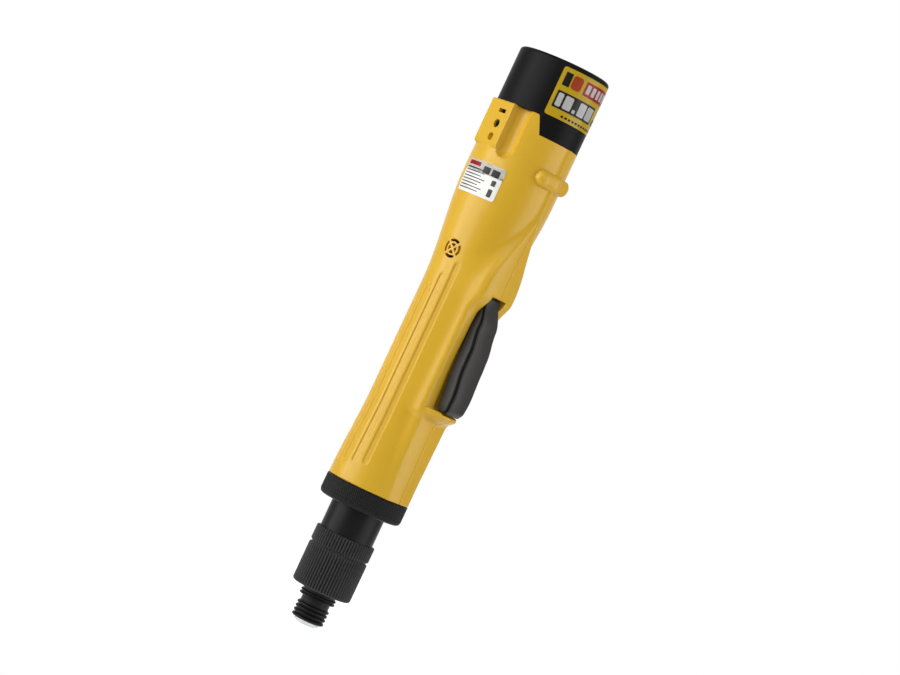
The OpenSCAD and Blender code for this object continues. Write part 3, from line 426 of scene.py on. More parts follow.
@dataclass
class HousingForm:
    """Outer form of the two shells, as a distance from the spindle axis at each angle and height."""

    foot_z: float = 4.75
    rim_z: float = 177.45
    notch_z: float = 169.45
    grip_r: float = 16.8
    foot_r: float = 18.3
    upper_a: float = 21.7
    upper_b: float = 19.3
    front_reach: float = 21.2
    guard_reach: float = 17.9
    guard_half: float = 11.6
    lip_z: float = 43.75
    lip_reach: float = 24.7
    prow_z: float = 100.9
    prow_tip_z: float = 145.95
    vent_z: float = 111.7
    boss_z: float = 153.25
    pad_z: float = 156.75
    pad_turn: float = 106.0
    pad_face: float = 19.7
    trough_x: float = 4.6
    trough_y: float = 20.1
    trough_r: float = 4.4
    knob_z: float = 74.9
    flatness: float = 0.6
    trigger_z: float = 47.5
    trigger_h: float = 52.0
    trigger_w: float = 6.0
    slit: float = 0.5
    end_slit: float = 0.8
    channels_a_side: int = 5
    channel_turn: float = 71.0
    channel_step: float = 16.5
    channel_half: float = 1.5
    channel_depth: float = 0.5
    screw_bores: Sequence[tuple[float, float, float]] = ((20.9, 5.35, 153.25), (-11, 7.05, 123.45),
                                                         (11, 7.05, 123.45))
    gap: float = 0.05

    def round_reach(self, turn: float, z: float) -> float:
        """The body without its spine: three eased radii joined as an oval."""
        low, high = self.prow_z - 6, self.prow_tip_z

        def along(top: float) -> float:
            """One of the radii at this height."""
            return ease([(self.foot_z, self.foot_r), (self.foot_z + 40, self.grip_r), (low, self.grip_r),
                         (high, top)], z)

        front = math.cos(math.radians(turn)) > 0
        return oval_reach(along(self.front_reach if front else self.upper_a), along(self.upper_b), turn)

    def spine(self, turn: float, z: float) -> float:
        """The low-crowned spine down the front, which swells into the prow above the trigger."""
        reach = ease([(self.foot_z, self.foot_r - 0.1), (self.foot_z + 14, self.guard_reach - 0.1),
                      (self.lip_z, self.guard_reach), (self.prow_z - 10, self.guard_reach),
                      (self.prow_z, self.front_reach + 0.25), (self.prow_tip_z, self.front_reach)], z)
        half = ease([(self.foot_z, 10.0), (self.lip_z - 2, 10.5), (self.lip_z + 1, self.guard_half),
                     (self.prow_z + 2, self.guard_half), (self.prow_z + 42, 1.0)], z)
        corner = ease([(self.foot_z, 6.0), (self.lip_z - 20, 3.6), (self.lip_z - 3, 3.2), (self.lip_z, 1.6),
                       (self.prow_z - 12, 1.8), (self.prow_z - 1, 3.2), (self.prow_tip_z, 5.0)], z)
        lean = math.radians(78)
        t = math.radians(turn)
        wall = (half * math.sin(lean) + (reach - 2) * math.cos(lean)) / max(math.cos(t - lean), 0.01)
        return blend_min(reach / max(math.cos(t), 0.01) ** self.flatness, wall, corner)

    def lip(self, turn: float, z: float) -> float:
        """The crescent shelf under the trigger."""
        r = self.guard_half - 1.2
        up = z - self.lip_z
        if not -3 <= up <= 3.5:
            return 0.0
        under, over = max((1.8 - up) / 4.5, 0), max((up - 2.6) / 0.9, 0)
        disc = r - 0.9 * (1 - math.sqrt(1 - min(over, 1) ** 2))
        t, middle = math.radians(turn), self.lip_reach - r - 7.0 * under**1.2
        inside = disc * disc - (middle * math.sin(t)) ** 2
        return middle * math.cos(t) + math.sqrt(inside) if inside > 0 and turn < 90 else 0.0

    def boss(self, turn: float, z: float) -> float:
        """The cross boss over the front screw: a short bar across the front with round ends."""
        r, end, middle = 3.5, 6.7, self.front_reach - 1.6
        level = r * r - (z - self.boss_z - 0.7) ** 2
        if level <= 0 or turn > 60:
            return 0.0
        t = math.radians(turn)
        reach = (middle + math.sqrt(level)) / math.cos(t)
        if reach * math.sin(t) <= end:
            return reach
        along = middle * math.cos(t) + end * math.sin(t)
        root = along * along - (middle * middle + end * end - level)
        return along + math.sqrt(root) if root > 0 else 0.0

    def pad(self, turn: float, z: float) -> float:
        """The flat catch pad behind each side."""
        up = z - self.pad_z
        off = math.radians(self.pad_turn - turn)
        if up < 0 or abs(off) > 1.2:
            return 0.0
        reach = self.pad_face / math.cos(off)
        edge = 5.8 / math.sin(off) if off > 0.05 else -10.7 / math.sin(off) if off < -0.05 else 99.0
        foot = 2.0 - math.sqrt(max(4.0 - max(2.0 - up, 0) ** 2, 0))
        return blend_min(reach, edge, 1.2) - foot

    def trough(self, turn: float, z: float) -> float:
        """The round-bottomed vertical trough beside each pad."""
        low = self.pad_z + 2
        r2 = self.trough_r**2 - max(low - z, 0) ** 2
        t = math.radians(turn)
        along = self.trough_x * math.cos(t) + self.trough_y * math.sin(t)
        root = along * along - (self.trough_x**2 + self.trough_y**2 - r2) if r2 > 0 else -1.0
        return along - math.sqrt(root) if root > 0 else 99.0

    def channels(self, turn: float, z: float) -> float:
        """Depth of the five grip channels at a place."""
        half = self.channel_half
        for i in range(self.channels_a_side):
            low, high = self.foot_z + 9.5 - i * 1.3, self.prow_z + 6.5 - i * 6.4
            across = math.radians(turn - self.channel_turn - i * self.channel_step) * self.grip_r
            past = max(low + half - z, z - high + half, 0)
            inside = half - math.hypot(across, past)
            if inside > 0:
                return self.channel_depth * ease([(0, 0), (0.55, 1)], inside)
        return 0.0

    def trigger_half(self, z: float) -> float:
        """Half-width of the trigger at a height."""
        share = (z - self.trigger_z) / self.trigger_h
        return self.trigger_w * ease([(0, 0.76), (0.08, 0.86), (0.4, 1), (0.7, 0.94), (1, 0.75)], share)

    def softened(self, turn: float, z: float, r: float) -> float:
        """How far the surface drops at the seam, the ends and round the trigger's opening."""
        side = abs(r * math.sin(math.radians(turn)))
        drop = 0.22 * max(1 - side / 0.34, 0)
        for from_end in (z - self.foot_z, self.rim_z - z):
            drop += 0.35 * max(1 - from_end / 0.35, 0) ** 2
        if turn < 60:
            low, high = self.trigger_z - self.end_slit, self.trigger_z + self.trigger_h + self.end_slit
            away = math.hypot(max(side - self.trigger_half(z) - self.slit, 0), max(z - high, low - z, 0))
            drop += 0.35 * max(1 - away / 0.8, 0) ** 2
        return drop

    def reach(self, turn: float, z: float) -> float:
        """Distance of the finished surface from the axis.

        Args:
            turn: Angle from the front in degrees, 0 to 180.
            z: Height.

        Returns:
            The distance.
        """
        r = self.round_reach(turn, z)
        if turn < 80:
            fillet = ease([(self.lip_z, 1.4), (self.prow_z - 10, 1.8), (self.prow_z + 10, 3.5),
                           (self.prow_tip_z, 6.0)], z)
            r = blend_max(r, self.spine(turn, z), fillet)
        r = blend_max(r, self.lip(turn, z), 1.4)
        r = blend_max(r, self.boss(turn, z), 5.4)
        r = blend_max(r, self.pad(turn, z), 0.9)
        r = blend_min(r, self.trough(turn, z), 2.0)
        return r - self.channels(turn, z) - self.softened(turn, z, r)


@dataclass
class Housing:
    """The two moulded shells with their recesses, holes and vents."""

    form: HousingForm = field(default_factory=HousingForm)
    levels: list[float] = field(default_factory=list)
    turns: list[float] = field(default_factory=list)

    def __post_init__(self) -> None:
        """Works out where the surface is sampled: closely where it has detail."""
        f = self.form
        low, lip, prow, tip, pad, rim = f.foot_z, f.lip_z, f.prow_z, f.prow_tip_z, f.pad_z, f.rim_z
        levels = [
            low, low + 0.12, low + 0.3, *steps(low + 0.6, lip - 3.3, 0.6),
            *steps(lip - 3.1, lip + 3.4, 0.26), lip + 3.49, lip + 3.52, *steps(lip + 3.8, prow - 12, 0.8),
            *steps(prow - 12, tip, 0.6), *steps(tip, pad + 2.5, 0.35), pad - 0.01,
            *steps(pad + 3, rim - 0.6, 0.6), rim - 0.3, rim - 0.12, rim]
        self.levels = sorted({round(z, 3) for z in levels})
        middles = [f.channel_turn + f.channel_step * i for i in range(f.channels_a_side)]
        edges = [t + side * off for t in middles for side in (-1, 1)
                 for off in (5.1, 4.65, 4.2, 3.7, 3.2, 2.2, 1.1)]
        lands = [t + off for t in [middles[0] - 8.4, *[t + 8.1 for t in middles]] for off in (-0.9, 0.2, 1.4)]
        turns = [0, 0.4, 0.8, 1.4, *steps(2.2, 65, 1.0), *edges, *lands, *steps(146, 177, 1.5), 178.6,
                 179.2, 179.6, 180]
        self.turns = sorted({round(t, 3) for t in turns})

    def shell(self, side: int) -> Mesh:
        """One closed half of the body, before anything is cut from it.

        Args:
            side: -1 for the left half, +1 for the right.

        Returns:
            The closed half.
        """
        f = self.form

        def place(turn: float, z: float) -> Vector:
            """A corner of the outer wall."""
            r, t = f.reach(turn, z), math.radians(turn)
            return Vector((r * math.cos(t), side * max(r * math.sin(t), f.gap / 2), z))

        bm = wrapped_grid(self.turns, self.levels, place)
        bm.edges.ensure_lookup_table()
        rims = [e for e in bm.edges if e.is_boundary and abs(e.verts[0].co.z - e.verts[1].co.z) > 1e-6]
        bmesh.ops.bridge_loops(bm, edges=rims)
        bmesh.ops.holes_fill(bm, edges=[e for e in bm.edges if e.is_boundary], sides=0)
        return bm

    def trigger_opening(self) -> Mesh:
        """The opening that the trigger swings in, down to the motor's tube."""
        f = self.form
        levels = steps(f.trigger_z, f.trigger_z + f.trigger_h, 2.0)
        side = [(f.trigger_half(z) + f.slit, z + (2 * (z - f.trigger_z) / f.trigger_h - 1) * f.end_slit)
                for z in levels]
        outline = [Vector((12, y, z)) for y, z in side] + [Vector((12, -y, z)) for y, z in reversed(side)]
        return carve(prism(outline, Vector((20, 0, 0))),
                     [rod(15.6, Vector((0, 0, 40)), Vector((0, 0, 106)), 128)])

    def bay(self, a: float, b: float, valley: float, low: float, high: float) -> Mesh:
        """The lobed oval column that the battery fills, with valleys beside the troughs."""
        f = self.form
        outline = [polar(oval_reach(a, b, t), t, low) for t in range(0, 360, 3)]
        valleys = [rod(valley, Vector((f.trough_x, s * f.trough_y, low - 1)),
                       Vector((f.trough_x, s * f.trough_y, high + 1))) for s in (-1, 1)]
        return carve(prism(outline, Vector((0, 0, high - low))), valleys)

    def vent(self) -> list[Mesh]:
        """Cutters for the round sound vent: four arcs round four wedges."""

        def sector(inner: float, outer: float, middle: float, bar: float) -> Mesh:
            """A sector between two radii that stops half a bar short of its neighbours."""
            def arc(r: float) -> list[tuple[float, float]]:
                """Points along the sector at one radius."""
                half = 45 - math.degrees(math.asin(min(bar / 2 / r, 0.99)))
                return [(r * math.cos(math.radians(middle + a)), r * math.sin(math.radians(middle + a)))
                        for a in steps(-half, half, 6)]

            corners = [*arc(outer), *reversed(arc(inner))]
            return prism([Vector((x, -12.8, self.form.vent_z + z)) for x, z in corners], Vector((0, -9, 0)))

        turns = (0, 90, 180, 270)
        return [*[sector(2.95, 4.15, a, 1.0) for a in turns], *[sector(0.66, 2.2, a, 0.85) for a in turns]]

    def cutters(self, side: int) -> list[Mesh]:
        """Everything that is cut from one half."""
        f = self.form
        turn = Matrix.Rotation(math.radians(side * f.pad_turn), 4, "Z")

        def on_pad(depth: float, z: float) -> Vector:
            """A place on the pad's middle line, some way under its face."""
            return turn @ Vector((f.pad_face - depth, 0, z))

        rim = [(-14.4, f.notch_z), (14.4, f.notch_z), (16.6, f.rim_z + 1), (-16.6, f.rim_z + 1)]
        cuts = [rod(15.05, Vector((0, 0, -12)), Vector((0, 0, 20.05)), 128),
                rod(13.9, Vector((0, 0, 19.75)), Vector((0, 0, 61.05)), 128),
                rod(14.0, Vector((0, 0, 60.55)), Vector((0, 0, 118.45)), 128),
                block(Vector((-9.05, -3.05, 117.45)), Vector((9.05, 3.05, 134))),
                self.bay(19.45, 17.85, 6.6, 132.65, f.rim_z + 5), self.trigger_opening(),
                prism([Vector((7.2, y, z)) for y, z in rim], Vector((40, 0, 0))),
                block(Vector((-24, -1.8, f.knob_z - 2.6)), Vector((-11.8, 1.8, f.knob_z + 2.6))),
                block(Vector((f.pad_face - 2.8, -2.45, f.rim_z - 5.35)),
                      Vector((f.pad_face + 3, 2.45, f.rim_z - 3.65)), turn),
                rod(1.85, on_pad(1.5, f.rim_z - 10.3), on_pad(-3, f.rim_z - 10.3)),
                rod(1.7, on_pad(1.6, f.rim_z - 16.3), on_pad(-3, f.rim_z - 16.3)), ]
        if side > 0:
            cuts += [rod(1.75, Vector((x, y, z)), Vector((x, 30, z))) for x, y, z in f.screw_bores]
        else:
            cuts += self.vent()
        return cuts

    def spigot(self, side: int) -> Mesh:
        """The half tube that reaches down into the clamp ring."""
        f = self.form
        other = block(Vector((-30, 0, -10)), Vector((30, 30, 20)),
                      Matrix.Rotation(math.pi if side > 0 else 0, 4, "Z"))
        return carve(rod(17, Vector((0, 0, -1.05)), Vector((0, 0, f.foot_z + 0.6)), 96),
                     [rod(15.05, Vector((0, 0, -5)), Vector((0, 0, 9)), 96), other])

    def guard(self, side: int) -> Mesh:
        """Half of the low frame round the direction knob."""
        f = self.form
        r = f.grip_r + 1.1
        y = sorted((side * f.gap / 2, side * 3.7))
        bm = block(Vector((-r, y[0], f.knob_z - 3.4)), Vector((-r + 2.6, y[1], f.knob_z + 3.4)))
        outer = [e for e in bm.edges if min(v.co.x for v in e.verts) < -r + 0.1]
        bmesh.ops.bevel(bm, geom=outer, offset=0.45, segments=3, affect="EDGES", profile=0.5, material=-1)
        return carve(bm, [block(Vector((-24, -1.8, f.knob_z - 2.6)), Vector((-11.8, 1.8, f.knob_z + 2.6)))])

    def build(self) -> None:
        """Makes and dresses both shells."""
        for side, name in ((-1, "housing_left"), (1, "housing_right")):
            whole = join(carve(self.shell(side), self.cutters(side)), self.spigot(side), self.guard(side))
            put(whole, "shell_left" if side < 0 else "shell_right", YELLOW_ABS, "root", "housing", [name],
                crease=40)


# ---------------------------------------------------------------- films


@dataclass
class Film:
    """A thin printed film that follows a surface given as a distance at each angle and height."""

    surface: Callable[[float, float], float]
    body: str
    slot: str

    def patch(self, name: str, finish: Finish, turns: tuple[float, float], heights: tuple[float, float],
              lift: float, corner: float = 0.0, stands_for: Sequence[str] = ()) -> None:
        """Lays one printed area on the surface.

        Args:
            name: The piece's name.
            finish: Its ink or film.
            turns: First and last angle in degrees.
            heights: Lowest and highest place.
            lift: Height above the surface.
            corner: Radius of its corners.
            stands_for: CAD nodes it replaces.
        """
        near = self.surface(sum(turns) / 2, sum(heights) / 2)
        fine = math.degrees(0.45 / near)
        wide = math.radians(turns[1] - turns[0]) * near

        def place(turn: float, share: float) -> Vector:
            """A corner of the film."""
            across = math.radians(turn - turns[0]) * near
            into = max(corner - min(across, wide - across), 0)
            inset = corner - math.sqrt(max(corner * corner - into * into, 0))
            z = heights[0] + inset + (heights[1] - heights[0] - 2 * inset) * share
            return polar(self.surface(turn, z) + lift, turn, z)

        ends = [turns[0] + math.degrees(d / near) for d in (0.08 * corner, 0.25 * corner)] if corner else []
        starts = [turns[1] - math.degrees(d / near) for d in (0.25 * corner, 0.08 * corner)] if corner else []
        us = sorted({*steps(*turns, fine), *ends, *starts})
        bm = wrapped_grid(us, steps(0, 1, 0.45 / (heights[1] - heights[0])), place)
        bmesh.ops.solidify(bm, geom=bm.faces[:], thickness=-0.03)
        put(bm, name, finish, self.body, self.slot, stands_for)


@dataclass
class RatingPlate:
    """The white rating plate on the left side, with plain bars where such plates carry print."""

    form: HousingForm
    turns: tuple[float, float] = (-127.0, -62.0)
    heights: tuple[float, float] = (135.8, 150.3)

    def build(self) -> None:
        """Lays the plate and its bars."""
        film = Film(lambda turn, z: self.form.round_reach(turn, z), "root", "plate_white")
        film.patch("rating_film", WHITE_VINYL, self.turns, self.heights, 0.17, 1.0, ["rating_plate"])
        low, high = self.heights
        film.patch("rating_red_bar", RED_INK, (-124.0, -100.0), (high - 2.6, high - 0.9), 0.24, 0.2)
        for row in range(8):
            z = high - 4.0 - row * 1.3
            end = -84.0 - (row % 3) * 4.0
            film.patch(f"rating_line_{row}", BLACK_INK, (-124.0, end), (z, z + 0.4), 0.24)
        for i, (start, end, z, tall) in enumerate(((-93, -82, high - 4.6, 2.9), (-79, -68, high - 4.6, 2.9),
                                                   (-74, -68, high - 8.4, 2.4),
                                                   (-74, -68, low + 1.2, 3.4))):
            film.patch(f"rating_mark_{i}", BLACK_INK, (float(start), float(end)), (z, z + tall), 0.24, 0.3)


# ---------------------------------------------------------------- battery


@dataclass
class Battery:
    """The battery pack: a case that slides into the bay, with a printed label round its front."""

    form: HousingForm
    housing: Housing
    top_z: float = 202.55
    low_z: float = 133.45
    a: float = 21.3
    b: float = 18.9
    edge: float = 1.5

    def reach(self, turn: float, z: float) -> float:
        """Distance of the exposed case's surface from the axis."""
        return oval_reach(self.a, self.b, turn)

    def upper(self) -> Mesh:
        """The exposed part: an oval column with a rounded top edge and a tongue down its front."""
        base = self.form.notch_z - 1
        rows = [(0.0, z) for z in steps(base, self.top_z - self.edge, 4.0)]
        rows += [(self.edge * (1 - math.cos(math.radians(t))),
                  self.top_z - self.edge * (1 - math.sin(math.radians(t)))) for t in steps(15, 90, 15)]
        index = list(range(len(rows)))
        turns = steps(-180, 180, 2)

        def place(turn: float, row: float) -> Vector:
            """A corner of the case."""
            drop, z = rows[int(row)]
            return polar(oval_reach(self.a, self.b, turn) - drop, turn, z)

        bm = wrapped_grid(turns, index, place)
        bmesh.ops.remove_doubles(bm, verts=bm.verts, dist=1e-4)
        bmesh.ops.holes_fill(bm, edges=[e for e in bm.edges if e.is_boundary], sides=0)
        low, rim = self.form.notch_z + 0.15, self.form.rim_z + 0.15
        tongue = prism([Vector((7.3, y, z)) for y,
                        z in ((-14.1, low), (14.1, low), (16.45, rim + 2), (-16.45, rim + 2))],
                       Vector((40, 0, 0)))
        slab = block(Vector((-40, -40, base - 5)), Vector((40, 40, rim)))
        return carve(bm, [carve(slab, [tongue])])

    def lower(self) -> Mesh:
        """The part inside the bay, with slots for the contact blades."""
        column = self.housing.bay(19.25, 17.65, 6.8, self.low_z, self.form.rim_z + 1)
        slots = [block(Vector((x - 0.7, -2.4, self.low_z - 1)), Vector((x + 0.7, 2.4, self.low_z + 5.2)))
                 for x in (-6, 0, 6)]
        return carve(column, slots)

    def label(self) -> None:
        """The yellow label with its blocks of ink, which carry plain bars."""
        film = Film(self.reach, "battery", "label_yellow")
        high = self.top_z - 2.2
        film.patch("label_film", YELLOW_VINYL, (-52.0, 52.0), (high - 21.5, high), 0.12, 1.2,
                   ["battery_label"])
        top, foot = high - 1.9, high - 7.8
        film.patch("label_black_block", BLACK_INK, (-46.8, -38.0), (foot, top), 0.14)
        film.patch("label_orange_block", ORANGE_INK, (-36.6, -23.5), (foot, top), 0.14, 1.4)
        film.patch("label_red_block", RED_INK, (-19.6, 44.0), (high - 8.0, top), 0.14, 0.3)
        for i in range(7):
            start = -16.5 + i * 8.4
            film.patch(f"label_red_bar_{i}", WHITE_INK, (start, start + 5.4), (high - 6.9, high - 3.0),
                       0.16, 0.3)
        film.patch("label_black_panel", BLACK_INK, (-47.4, 11.5), (high - 17.6, high - 10.2), 0.14)
        for i, (start, end) in enumerate(((-45, -38), (-35.5, -25), (-15.5, -5), (-3, 9.5))):
            film.patch(f"label_panel_bar_{i}", WHITE_INK, (float(start), float(end)),
                       (high - 16.8, high - 11.0), 0.16, 0.6)
        film.patch("label_panel_dot", WHITE_INK, (-22.5, -18.5), (high - 16.8, high - 15.3), 0.16, 0.2)
        film.patch("label_side_bar", BLACK_INK, (17.0, 33.0), (high - 17.4, high - 14.6), 0.14, 0.2)
        for i in range(14):
            start = -32.0 + i * 5.0
            film.patch(f"label_dash_{i}", BLACK_INK, (start, start + 3.3), (high - 20.4, high - 19.5), 0.14)

    def build(self) -> None:
        """Makes and dresses the pack."""
        put(join(self.upper(), self.lower()), "battery_shell", BATTERY_ABS, "battery", "battery_black",
            ["battery_case", "battery_cap"], crease=35)
        self.label()


# ---------------------------------------------------------------- trigger and knob


@dataclass
class Trigger:
    """The long lever trigger: a curved front plate with a groove down each side behind its edge."""

    form: HousingForm
    front: float = 26.4
    crown: float = 0.35
    corner: float = 0.55
    end_round: float = 0.6

    def face(self, share: float) -> float:
        """Distance of the front at a share of the height."""
        return self.front - ease([(0, 1.6), (0.05, 0.3), (0.14, 0), (0.4, 1.2), (0.52, 1.45), (0.76, 3.3),
                                  (1, 7.1)], share)

    def back(self, share: float) -> float:
        """Distance of the hidden back at a share of the height."""
        return ease([(0, 19.8), (0.3, 18.3), (0.75, 16.8), (1, 16.6)], share)

    def section(self, half: float, deep: float) -> list[tuple[float, float]]:
        """Half of the lever's section.

        Args:
            half: Its half-width.
            deep: How far back it goes.

        Returns:
            (way back from the face, half-width) from its middle to its back.
        """
        flat, c = half - self.corner, self.corner
        plate = [(self.crown * s * s, flat * s) for s in steps(0, 1, 0.125)]
        edge = [(self.crown + c * (1 - math.cos(math.radians(a))), flat + c * math.sin(math.radians(a)))
                for a in steps(18, 90, 18)]
        groove = [(1.0, half - 0.1), (1.1, half - 1.5), (2.0, half - 1.5), (2.35, half - 0.6),
                  (2.55, half - 0.15), (2.8, half)]
        return [*plate, *edge, *groove, *[(2.8 + (deep - 2.8) * i / 5, half) for i in range(1, 6)]]

    def build(self) -> None:
        """Makes the lever as a closed lofted form."""
        height = self.form.trigger_h
        ends = [0.02, 0.1, 0.25, 0.5, 0.8]
        rows = sorted({*ends, *[height - e for e in ends], *steps(1.2, height - 1.2, 0.9)})
        rows = [0.0, *rows, height]
        last = len(self.section(5, 8)) - 1

        def place(index: float, up: float) -> Vector:
            """A corner of the lever: the index runs across it from back to back."""
            share, from_end = up / height, min(up, height - up)
            inset = self.end_round * (1 - math.sqrt(1 - max(1 - from_end / self.end_round, 0) ** 2))
            half, face = self.form.trigger_half(self.form.trigger_z + up) - inset, self.face(share) - inset
            behind, across = self.section(half, face - self.back(share))[abs(int(index))]
            return Vector((face - behind, math.copysign(across, index), self.form.trigger_z + up))

        bm = wrapped_grid([float(i) for i in range(-last, last + 1)], rows, place)
        sides = [e for e in bm.edges if e.is_boundary and abs(e.verts[0].co.z - e.verts[1].co.z) > 1e-6]
        bmesh.ops.bridge_loops(bm, edges=sides)
        bmesh.ops.holes_fill(bm, edges=[e for e in bm.edges if e.is_boundary], sides=0)
        put(bm, "trigger_lever", TRIGGER_NYLON, "trigger", "trigger_grey", ["trigger"], crease=50)


@dataclass
class DirectionKnob:
    """The small ribbed slider at the back that sets the direction."""

    z: float = 74.9

    def build(self) -> None:
        """Makes the slider with two finger ribs."""
        bm = block(Vector((-18.2, -1.55, self.z - 1)), Vector((-13.6, 1.55, self.z + 1)))
        bmesh.ops.bevel(bm, geom=[e for e in bm.edges if min(v.co.x for v in e.verts) < -18], offset=0.25,
                        segments=2, affect="EDGES", profile=0.5, material=-1)
        ribs = []
        for up in (-0.55, 0.25):
            rib = block(Vector((-18.4, -1.2, self.z + up)), Vector((-18.0, 1.2, self.z + up + 0.3)))
            bmesh.ops.bevel(rib, geom=rib.edges[:], offset=0.08, segments=2, affect="EDGES", profile=0.5,
                            material=-1)
            ribs.append(rib)
        foot = block(Vector((-14.0, -0.6, self.z - 1)), Vector((-11.6, 0.6, self.z + 1)))
        put(join(bm, *ribs, foot), "direction_slider", BLACK_ACETAL, "direction_knob", "black_plastic",
            ["direction_knob"])


# ---------------------------------------------------------------- front end


def press_in(bm: Mesh, depth: Callable[[float, float, float], float]) -> Mesh:
    """Moves every corner towards the axis by depth(angle in radians, height, distance)."""
    for vert in bm.verts:
        r = math.hypot(vert.co.x, vert.co.y)
        if r > 1e-6:
            left = (r - depth(math.atan2(vert.co.y, vert.co.x), vert.co.z, r)) / r
            vert.co.x *= left
            vert.co.y *= left
    return bm


def run(a: tuple[float, float], b: tuple[float, float], size: float) -> list[tuple[float, float]]:
    """Points from a up to, but not including, b."""
    count = max(1, math.ceil(math.dist(a, b) / size))
    return [(a[0] + (b[0] - a[0]) * i / count, a[1] + (b[1] - a[1]) * i / count) for i in range(count)]


@dataclass
class ClampRing:
    """The knurled ring that clamps the shells to the nose."""

    r: float = 18.6
    half: float = 4.55
    teeth: int = 104
    depth: float = 0.3

    def knurl(self, turn: float, z: float, r: float) -> float:
        """Depth of the diamond knurl: two crossed families of V-grooves."""
        if r < self.r - 1.3 or z > self.half - 0.35:
            return 0.0
        pitch = math.tau * self.r / self.teeth
        around, up = turn * self.teeth / math.tau, z / (pitch * 1.15)
        nearest = min(abs((way + 0.5) % 1 - 0.5) for way in (around + up, around - up))
        fade = min((r - self.r + 1.3) / 0.8, 1)
        return self.depth * fade * max(1 - nearest / 0.34, 0)

    def build(self) -> None:
        """Makes the ring."""
        r, h, s = self.r, self.half, 0.15
        profile = [(12.05, -h), (16.9, -h), *run((17.2, -h), (18.1, -h + 0.5), s),
                   *run((18.1, -h + 0.5), (r, -h + 1.7), s), *run((r, -h + 1.7), (r, h - 0.3), s),
                   (r, h - 0.3), (r - 0.3, h), (17.05, h), (17.05, -3.05), (12.05, -3.05)]
        put(press_in(turned(profile, self.teeth * 8), self.knurl), "knurled_ring", BLACK_STEEL, "root",
            "black_metal", ["clamp_ring"], crease=60)


@dataclass
class TorqueNut:
    """The fluted nut that sets the torque, with a V-groove round it."""

    r: float = 13.3
    low: float = -42.95
    high: float = -17.25
    groove_z: float = -24.65
    flutes: int = 62
    depth: float = 0.65

    def flute(self, turn: float, z: float, r: float) -> float:
        """Depth of the straight flutes, which fade out at the corners and in the groove."""
        keep = min(max((r - self.r + 1.0) / 0.7, 0), 1)
        valley = (0.5 - 0.5 * math.cos(turn * self.flutes)) ** 1.3
        return self.depth * keep * valley

    def build(self) -> None:
        """Makes the nut."""
        r, lo, hi, g = self.r, self.low, self.high, self.groove_z
        corner = [(r - 1.2 * (1 - math.sin(math.radians(a))), lo + 1.2 * (1 - math.cos(math.radians(a))))
                  for a in steps(0, 90, 11)]
        profile = [(8.3, lo), *corner, *run((r, lo + 1.3), (r, g - 0.9), 3.0), (r, g - 0.9),
                   (r - 0.3, g - 0.55), (r - 1, g), (r - 0.3, g + 0.55), (r, g + 0.9),
                   *run((r, g + 1.2), (r, hi - 0.5), 2.0), (r, hi - 0.5), (r - 0.12, hi - 0.2),
                   (r - 0.5, hi), (12.05, hi), (12.05, lo + 2.75), (8.3, lo + 2.75)]
        put(press_in(turned(profile, self.flutes * 10), self.flute), "fluted_nut", MATT_STEEL, "torque_nut",
            "black_metal", ["torque_nut"], crease=60)


@dataclass
class Nose:
    """The plain nose cylinder and the double-ridged flange at its tip."""

    r: float = 12.0

    def build(self) -> None:
        """Makes the nose as one turned piece."""
        tip = -46.95
        profile = [(6.6, tip), (7.75, tip), (8.1, tip + 0.3), (8.1, tip + 0.7), (7.5, tip + 1.05),
                   (7.5, tip + 1.35), (8.05, tip + 1.7), (8.1, tip + 2.0), (7.8, tip + 2.35),
                   (7.4, tip + 2.4), (7.4, -31.55), (11.7, -31.55), (self.r, -31.25), (self.r, -2.05),
                   (16.95, -2.05), (16.95, -1.05), (14.0, -1.05), (10.6, -1.05), (10.6, -27.4),
                   (5.0, -27.4), (5.0, -42.75), (6.6, -42.75)]
        put(turned(profile, 128), "nose_cylinder", BLACK_STEEL, "root", "black_metal", ["nose_tube"],
            crease=30)


@dataclass
class ChuckSleeve:
    """The ridged quick-change sleeve that is pushed up to free the bit."""

    r: float = 7.33
    low: float = -56.75
    ridges: int = 4
    pitch: float = 1.825

    def build(self) -> None:
        """Makes the sleeve with rounded ridges."""
        root = self.r - 0.85
        ridged = []
        for i in range(self.ridges):
            for share in steps(0, 0.9, 0.1):
                rise = 1 - abs(2 * min(share / 0.88, 1) - 1) ** 2.6
                ridged.append((root + 0.85 * rise, self.low + (i + share) * self.pitch))
        top = self.low + self.ridges * self.pitch
        profile = [(4.65, self.low), *ridged, (root, top), (6.4, top + 0.05), (6.4, top + 3.8),
                   (5.45, top + 3.8), (5.45, self.low + 6.6), (4.65, self.low + 6.6)]
        put(turned(profile, 96), "ridged_sleeve", BLACK_STEEL, "chuck_sleeve", "black_metal",
            ["chuck_sleeve"], crease=40)


# ---------------------------------------------------------------- studio


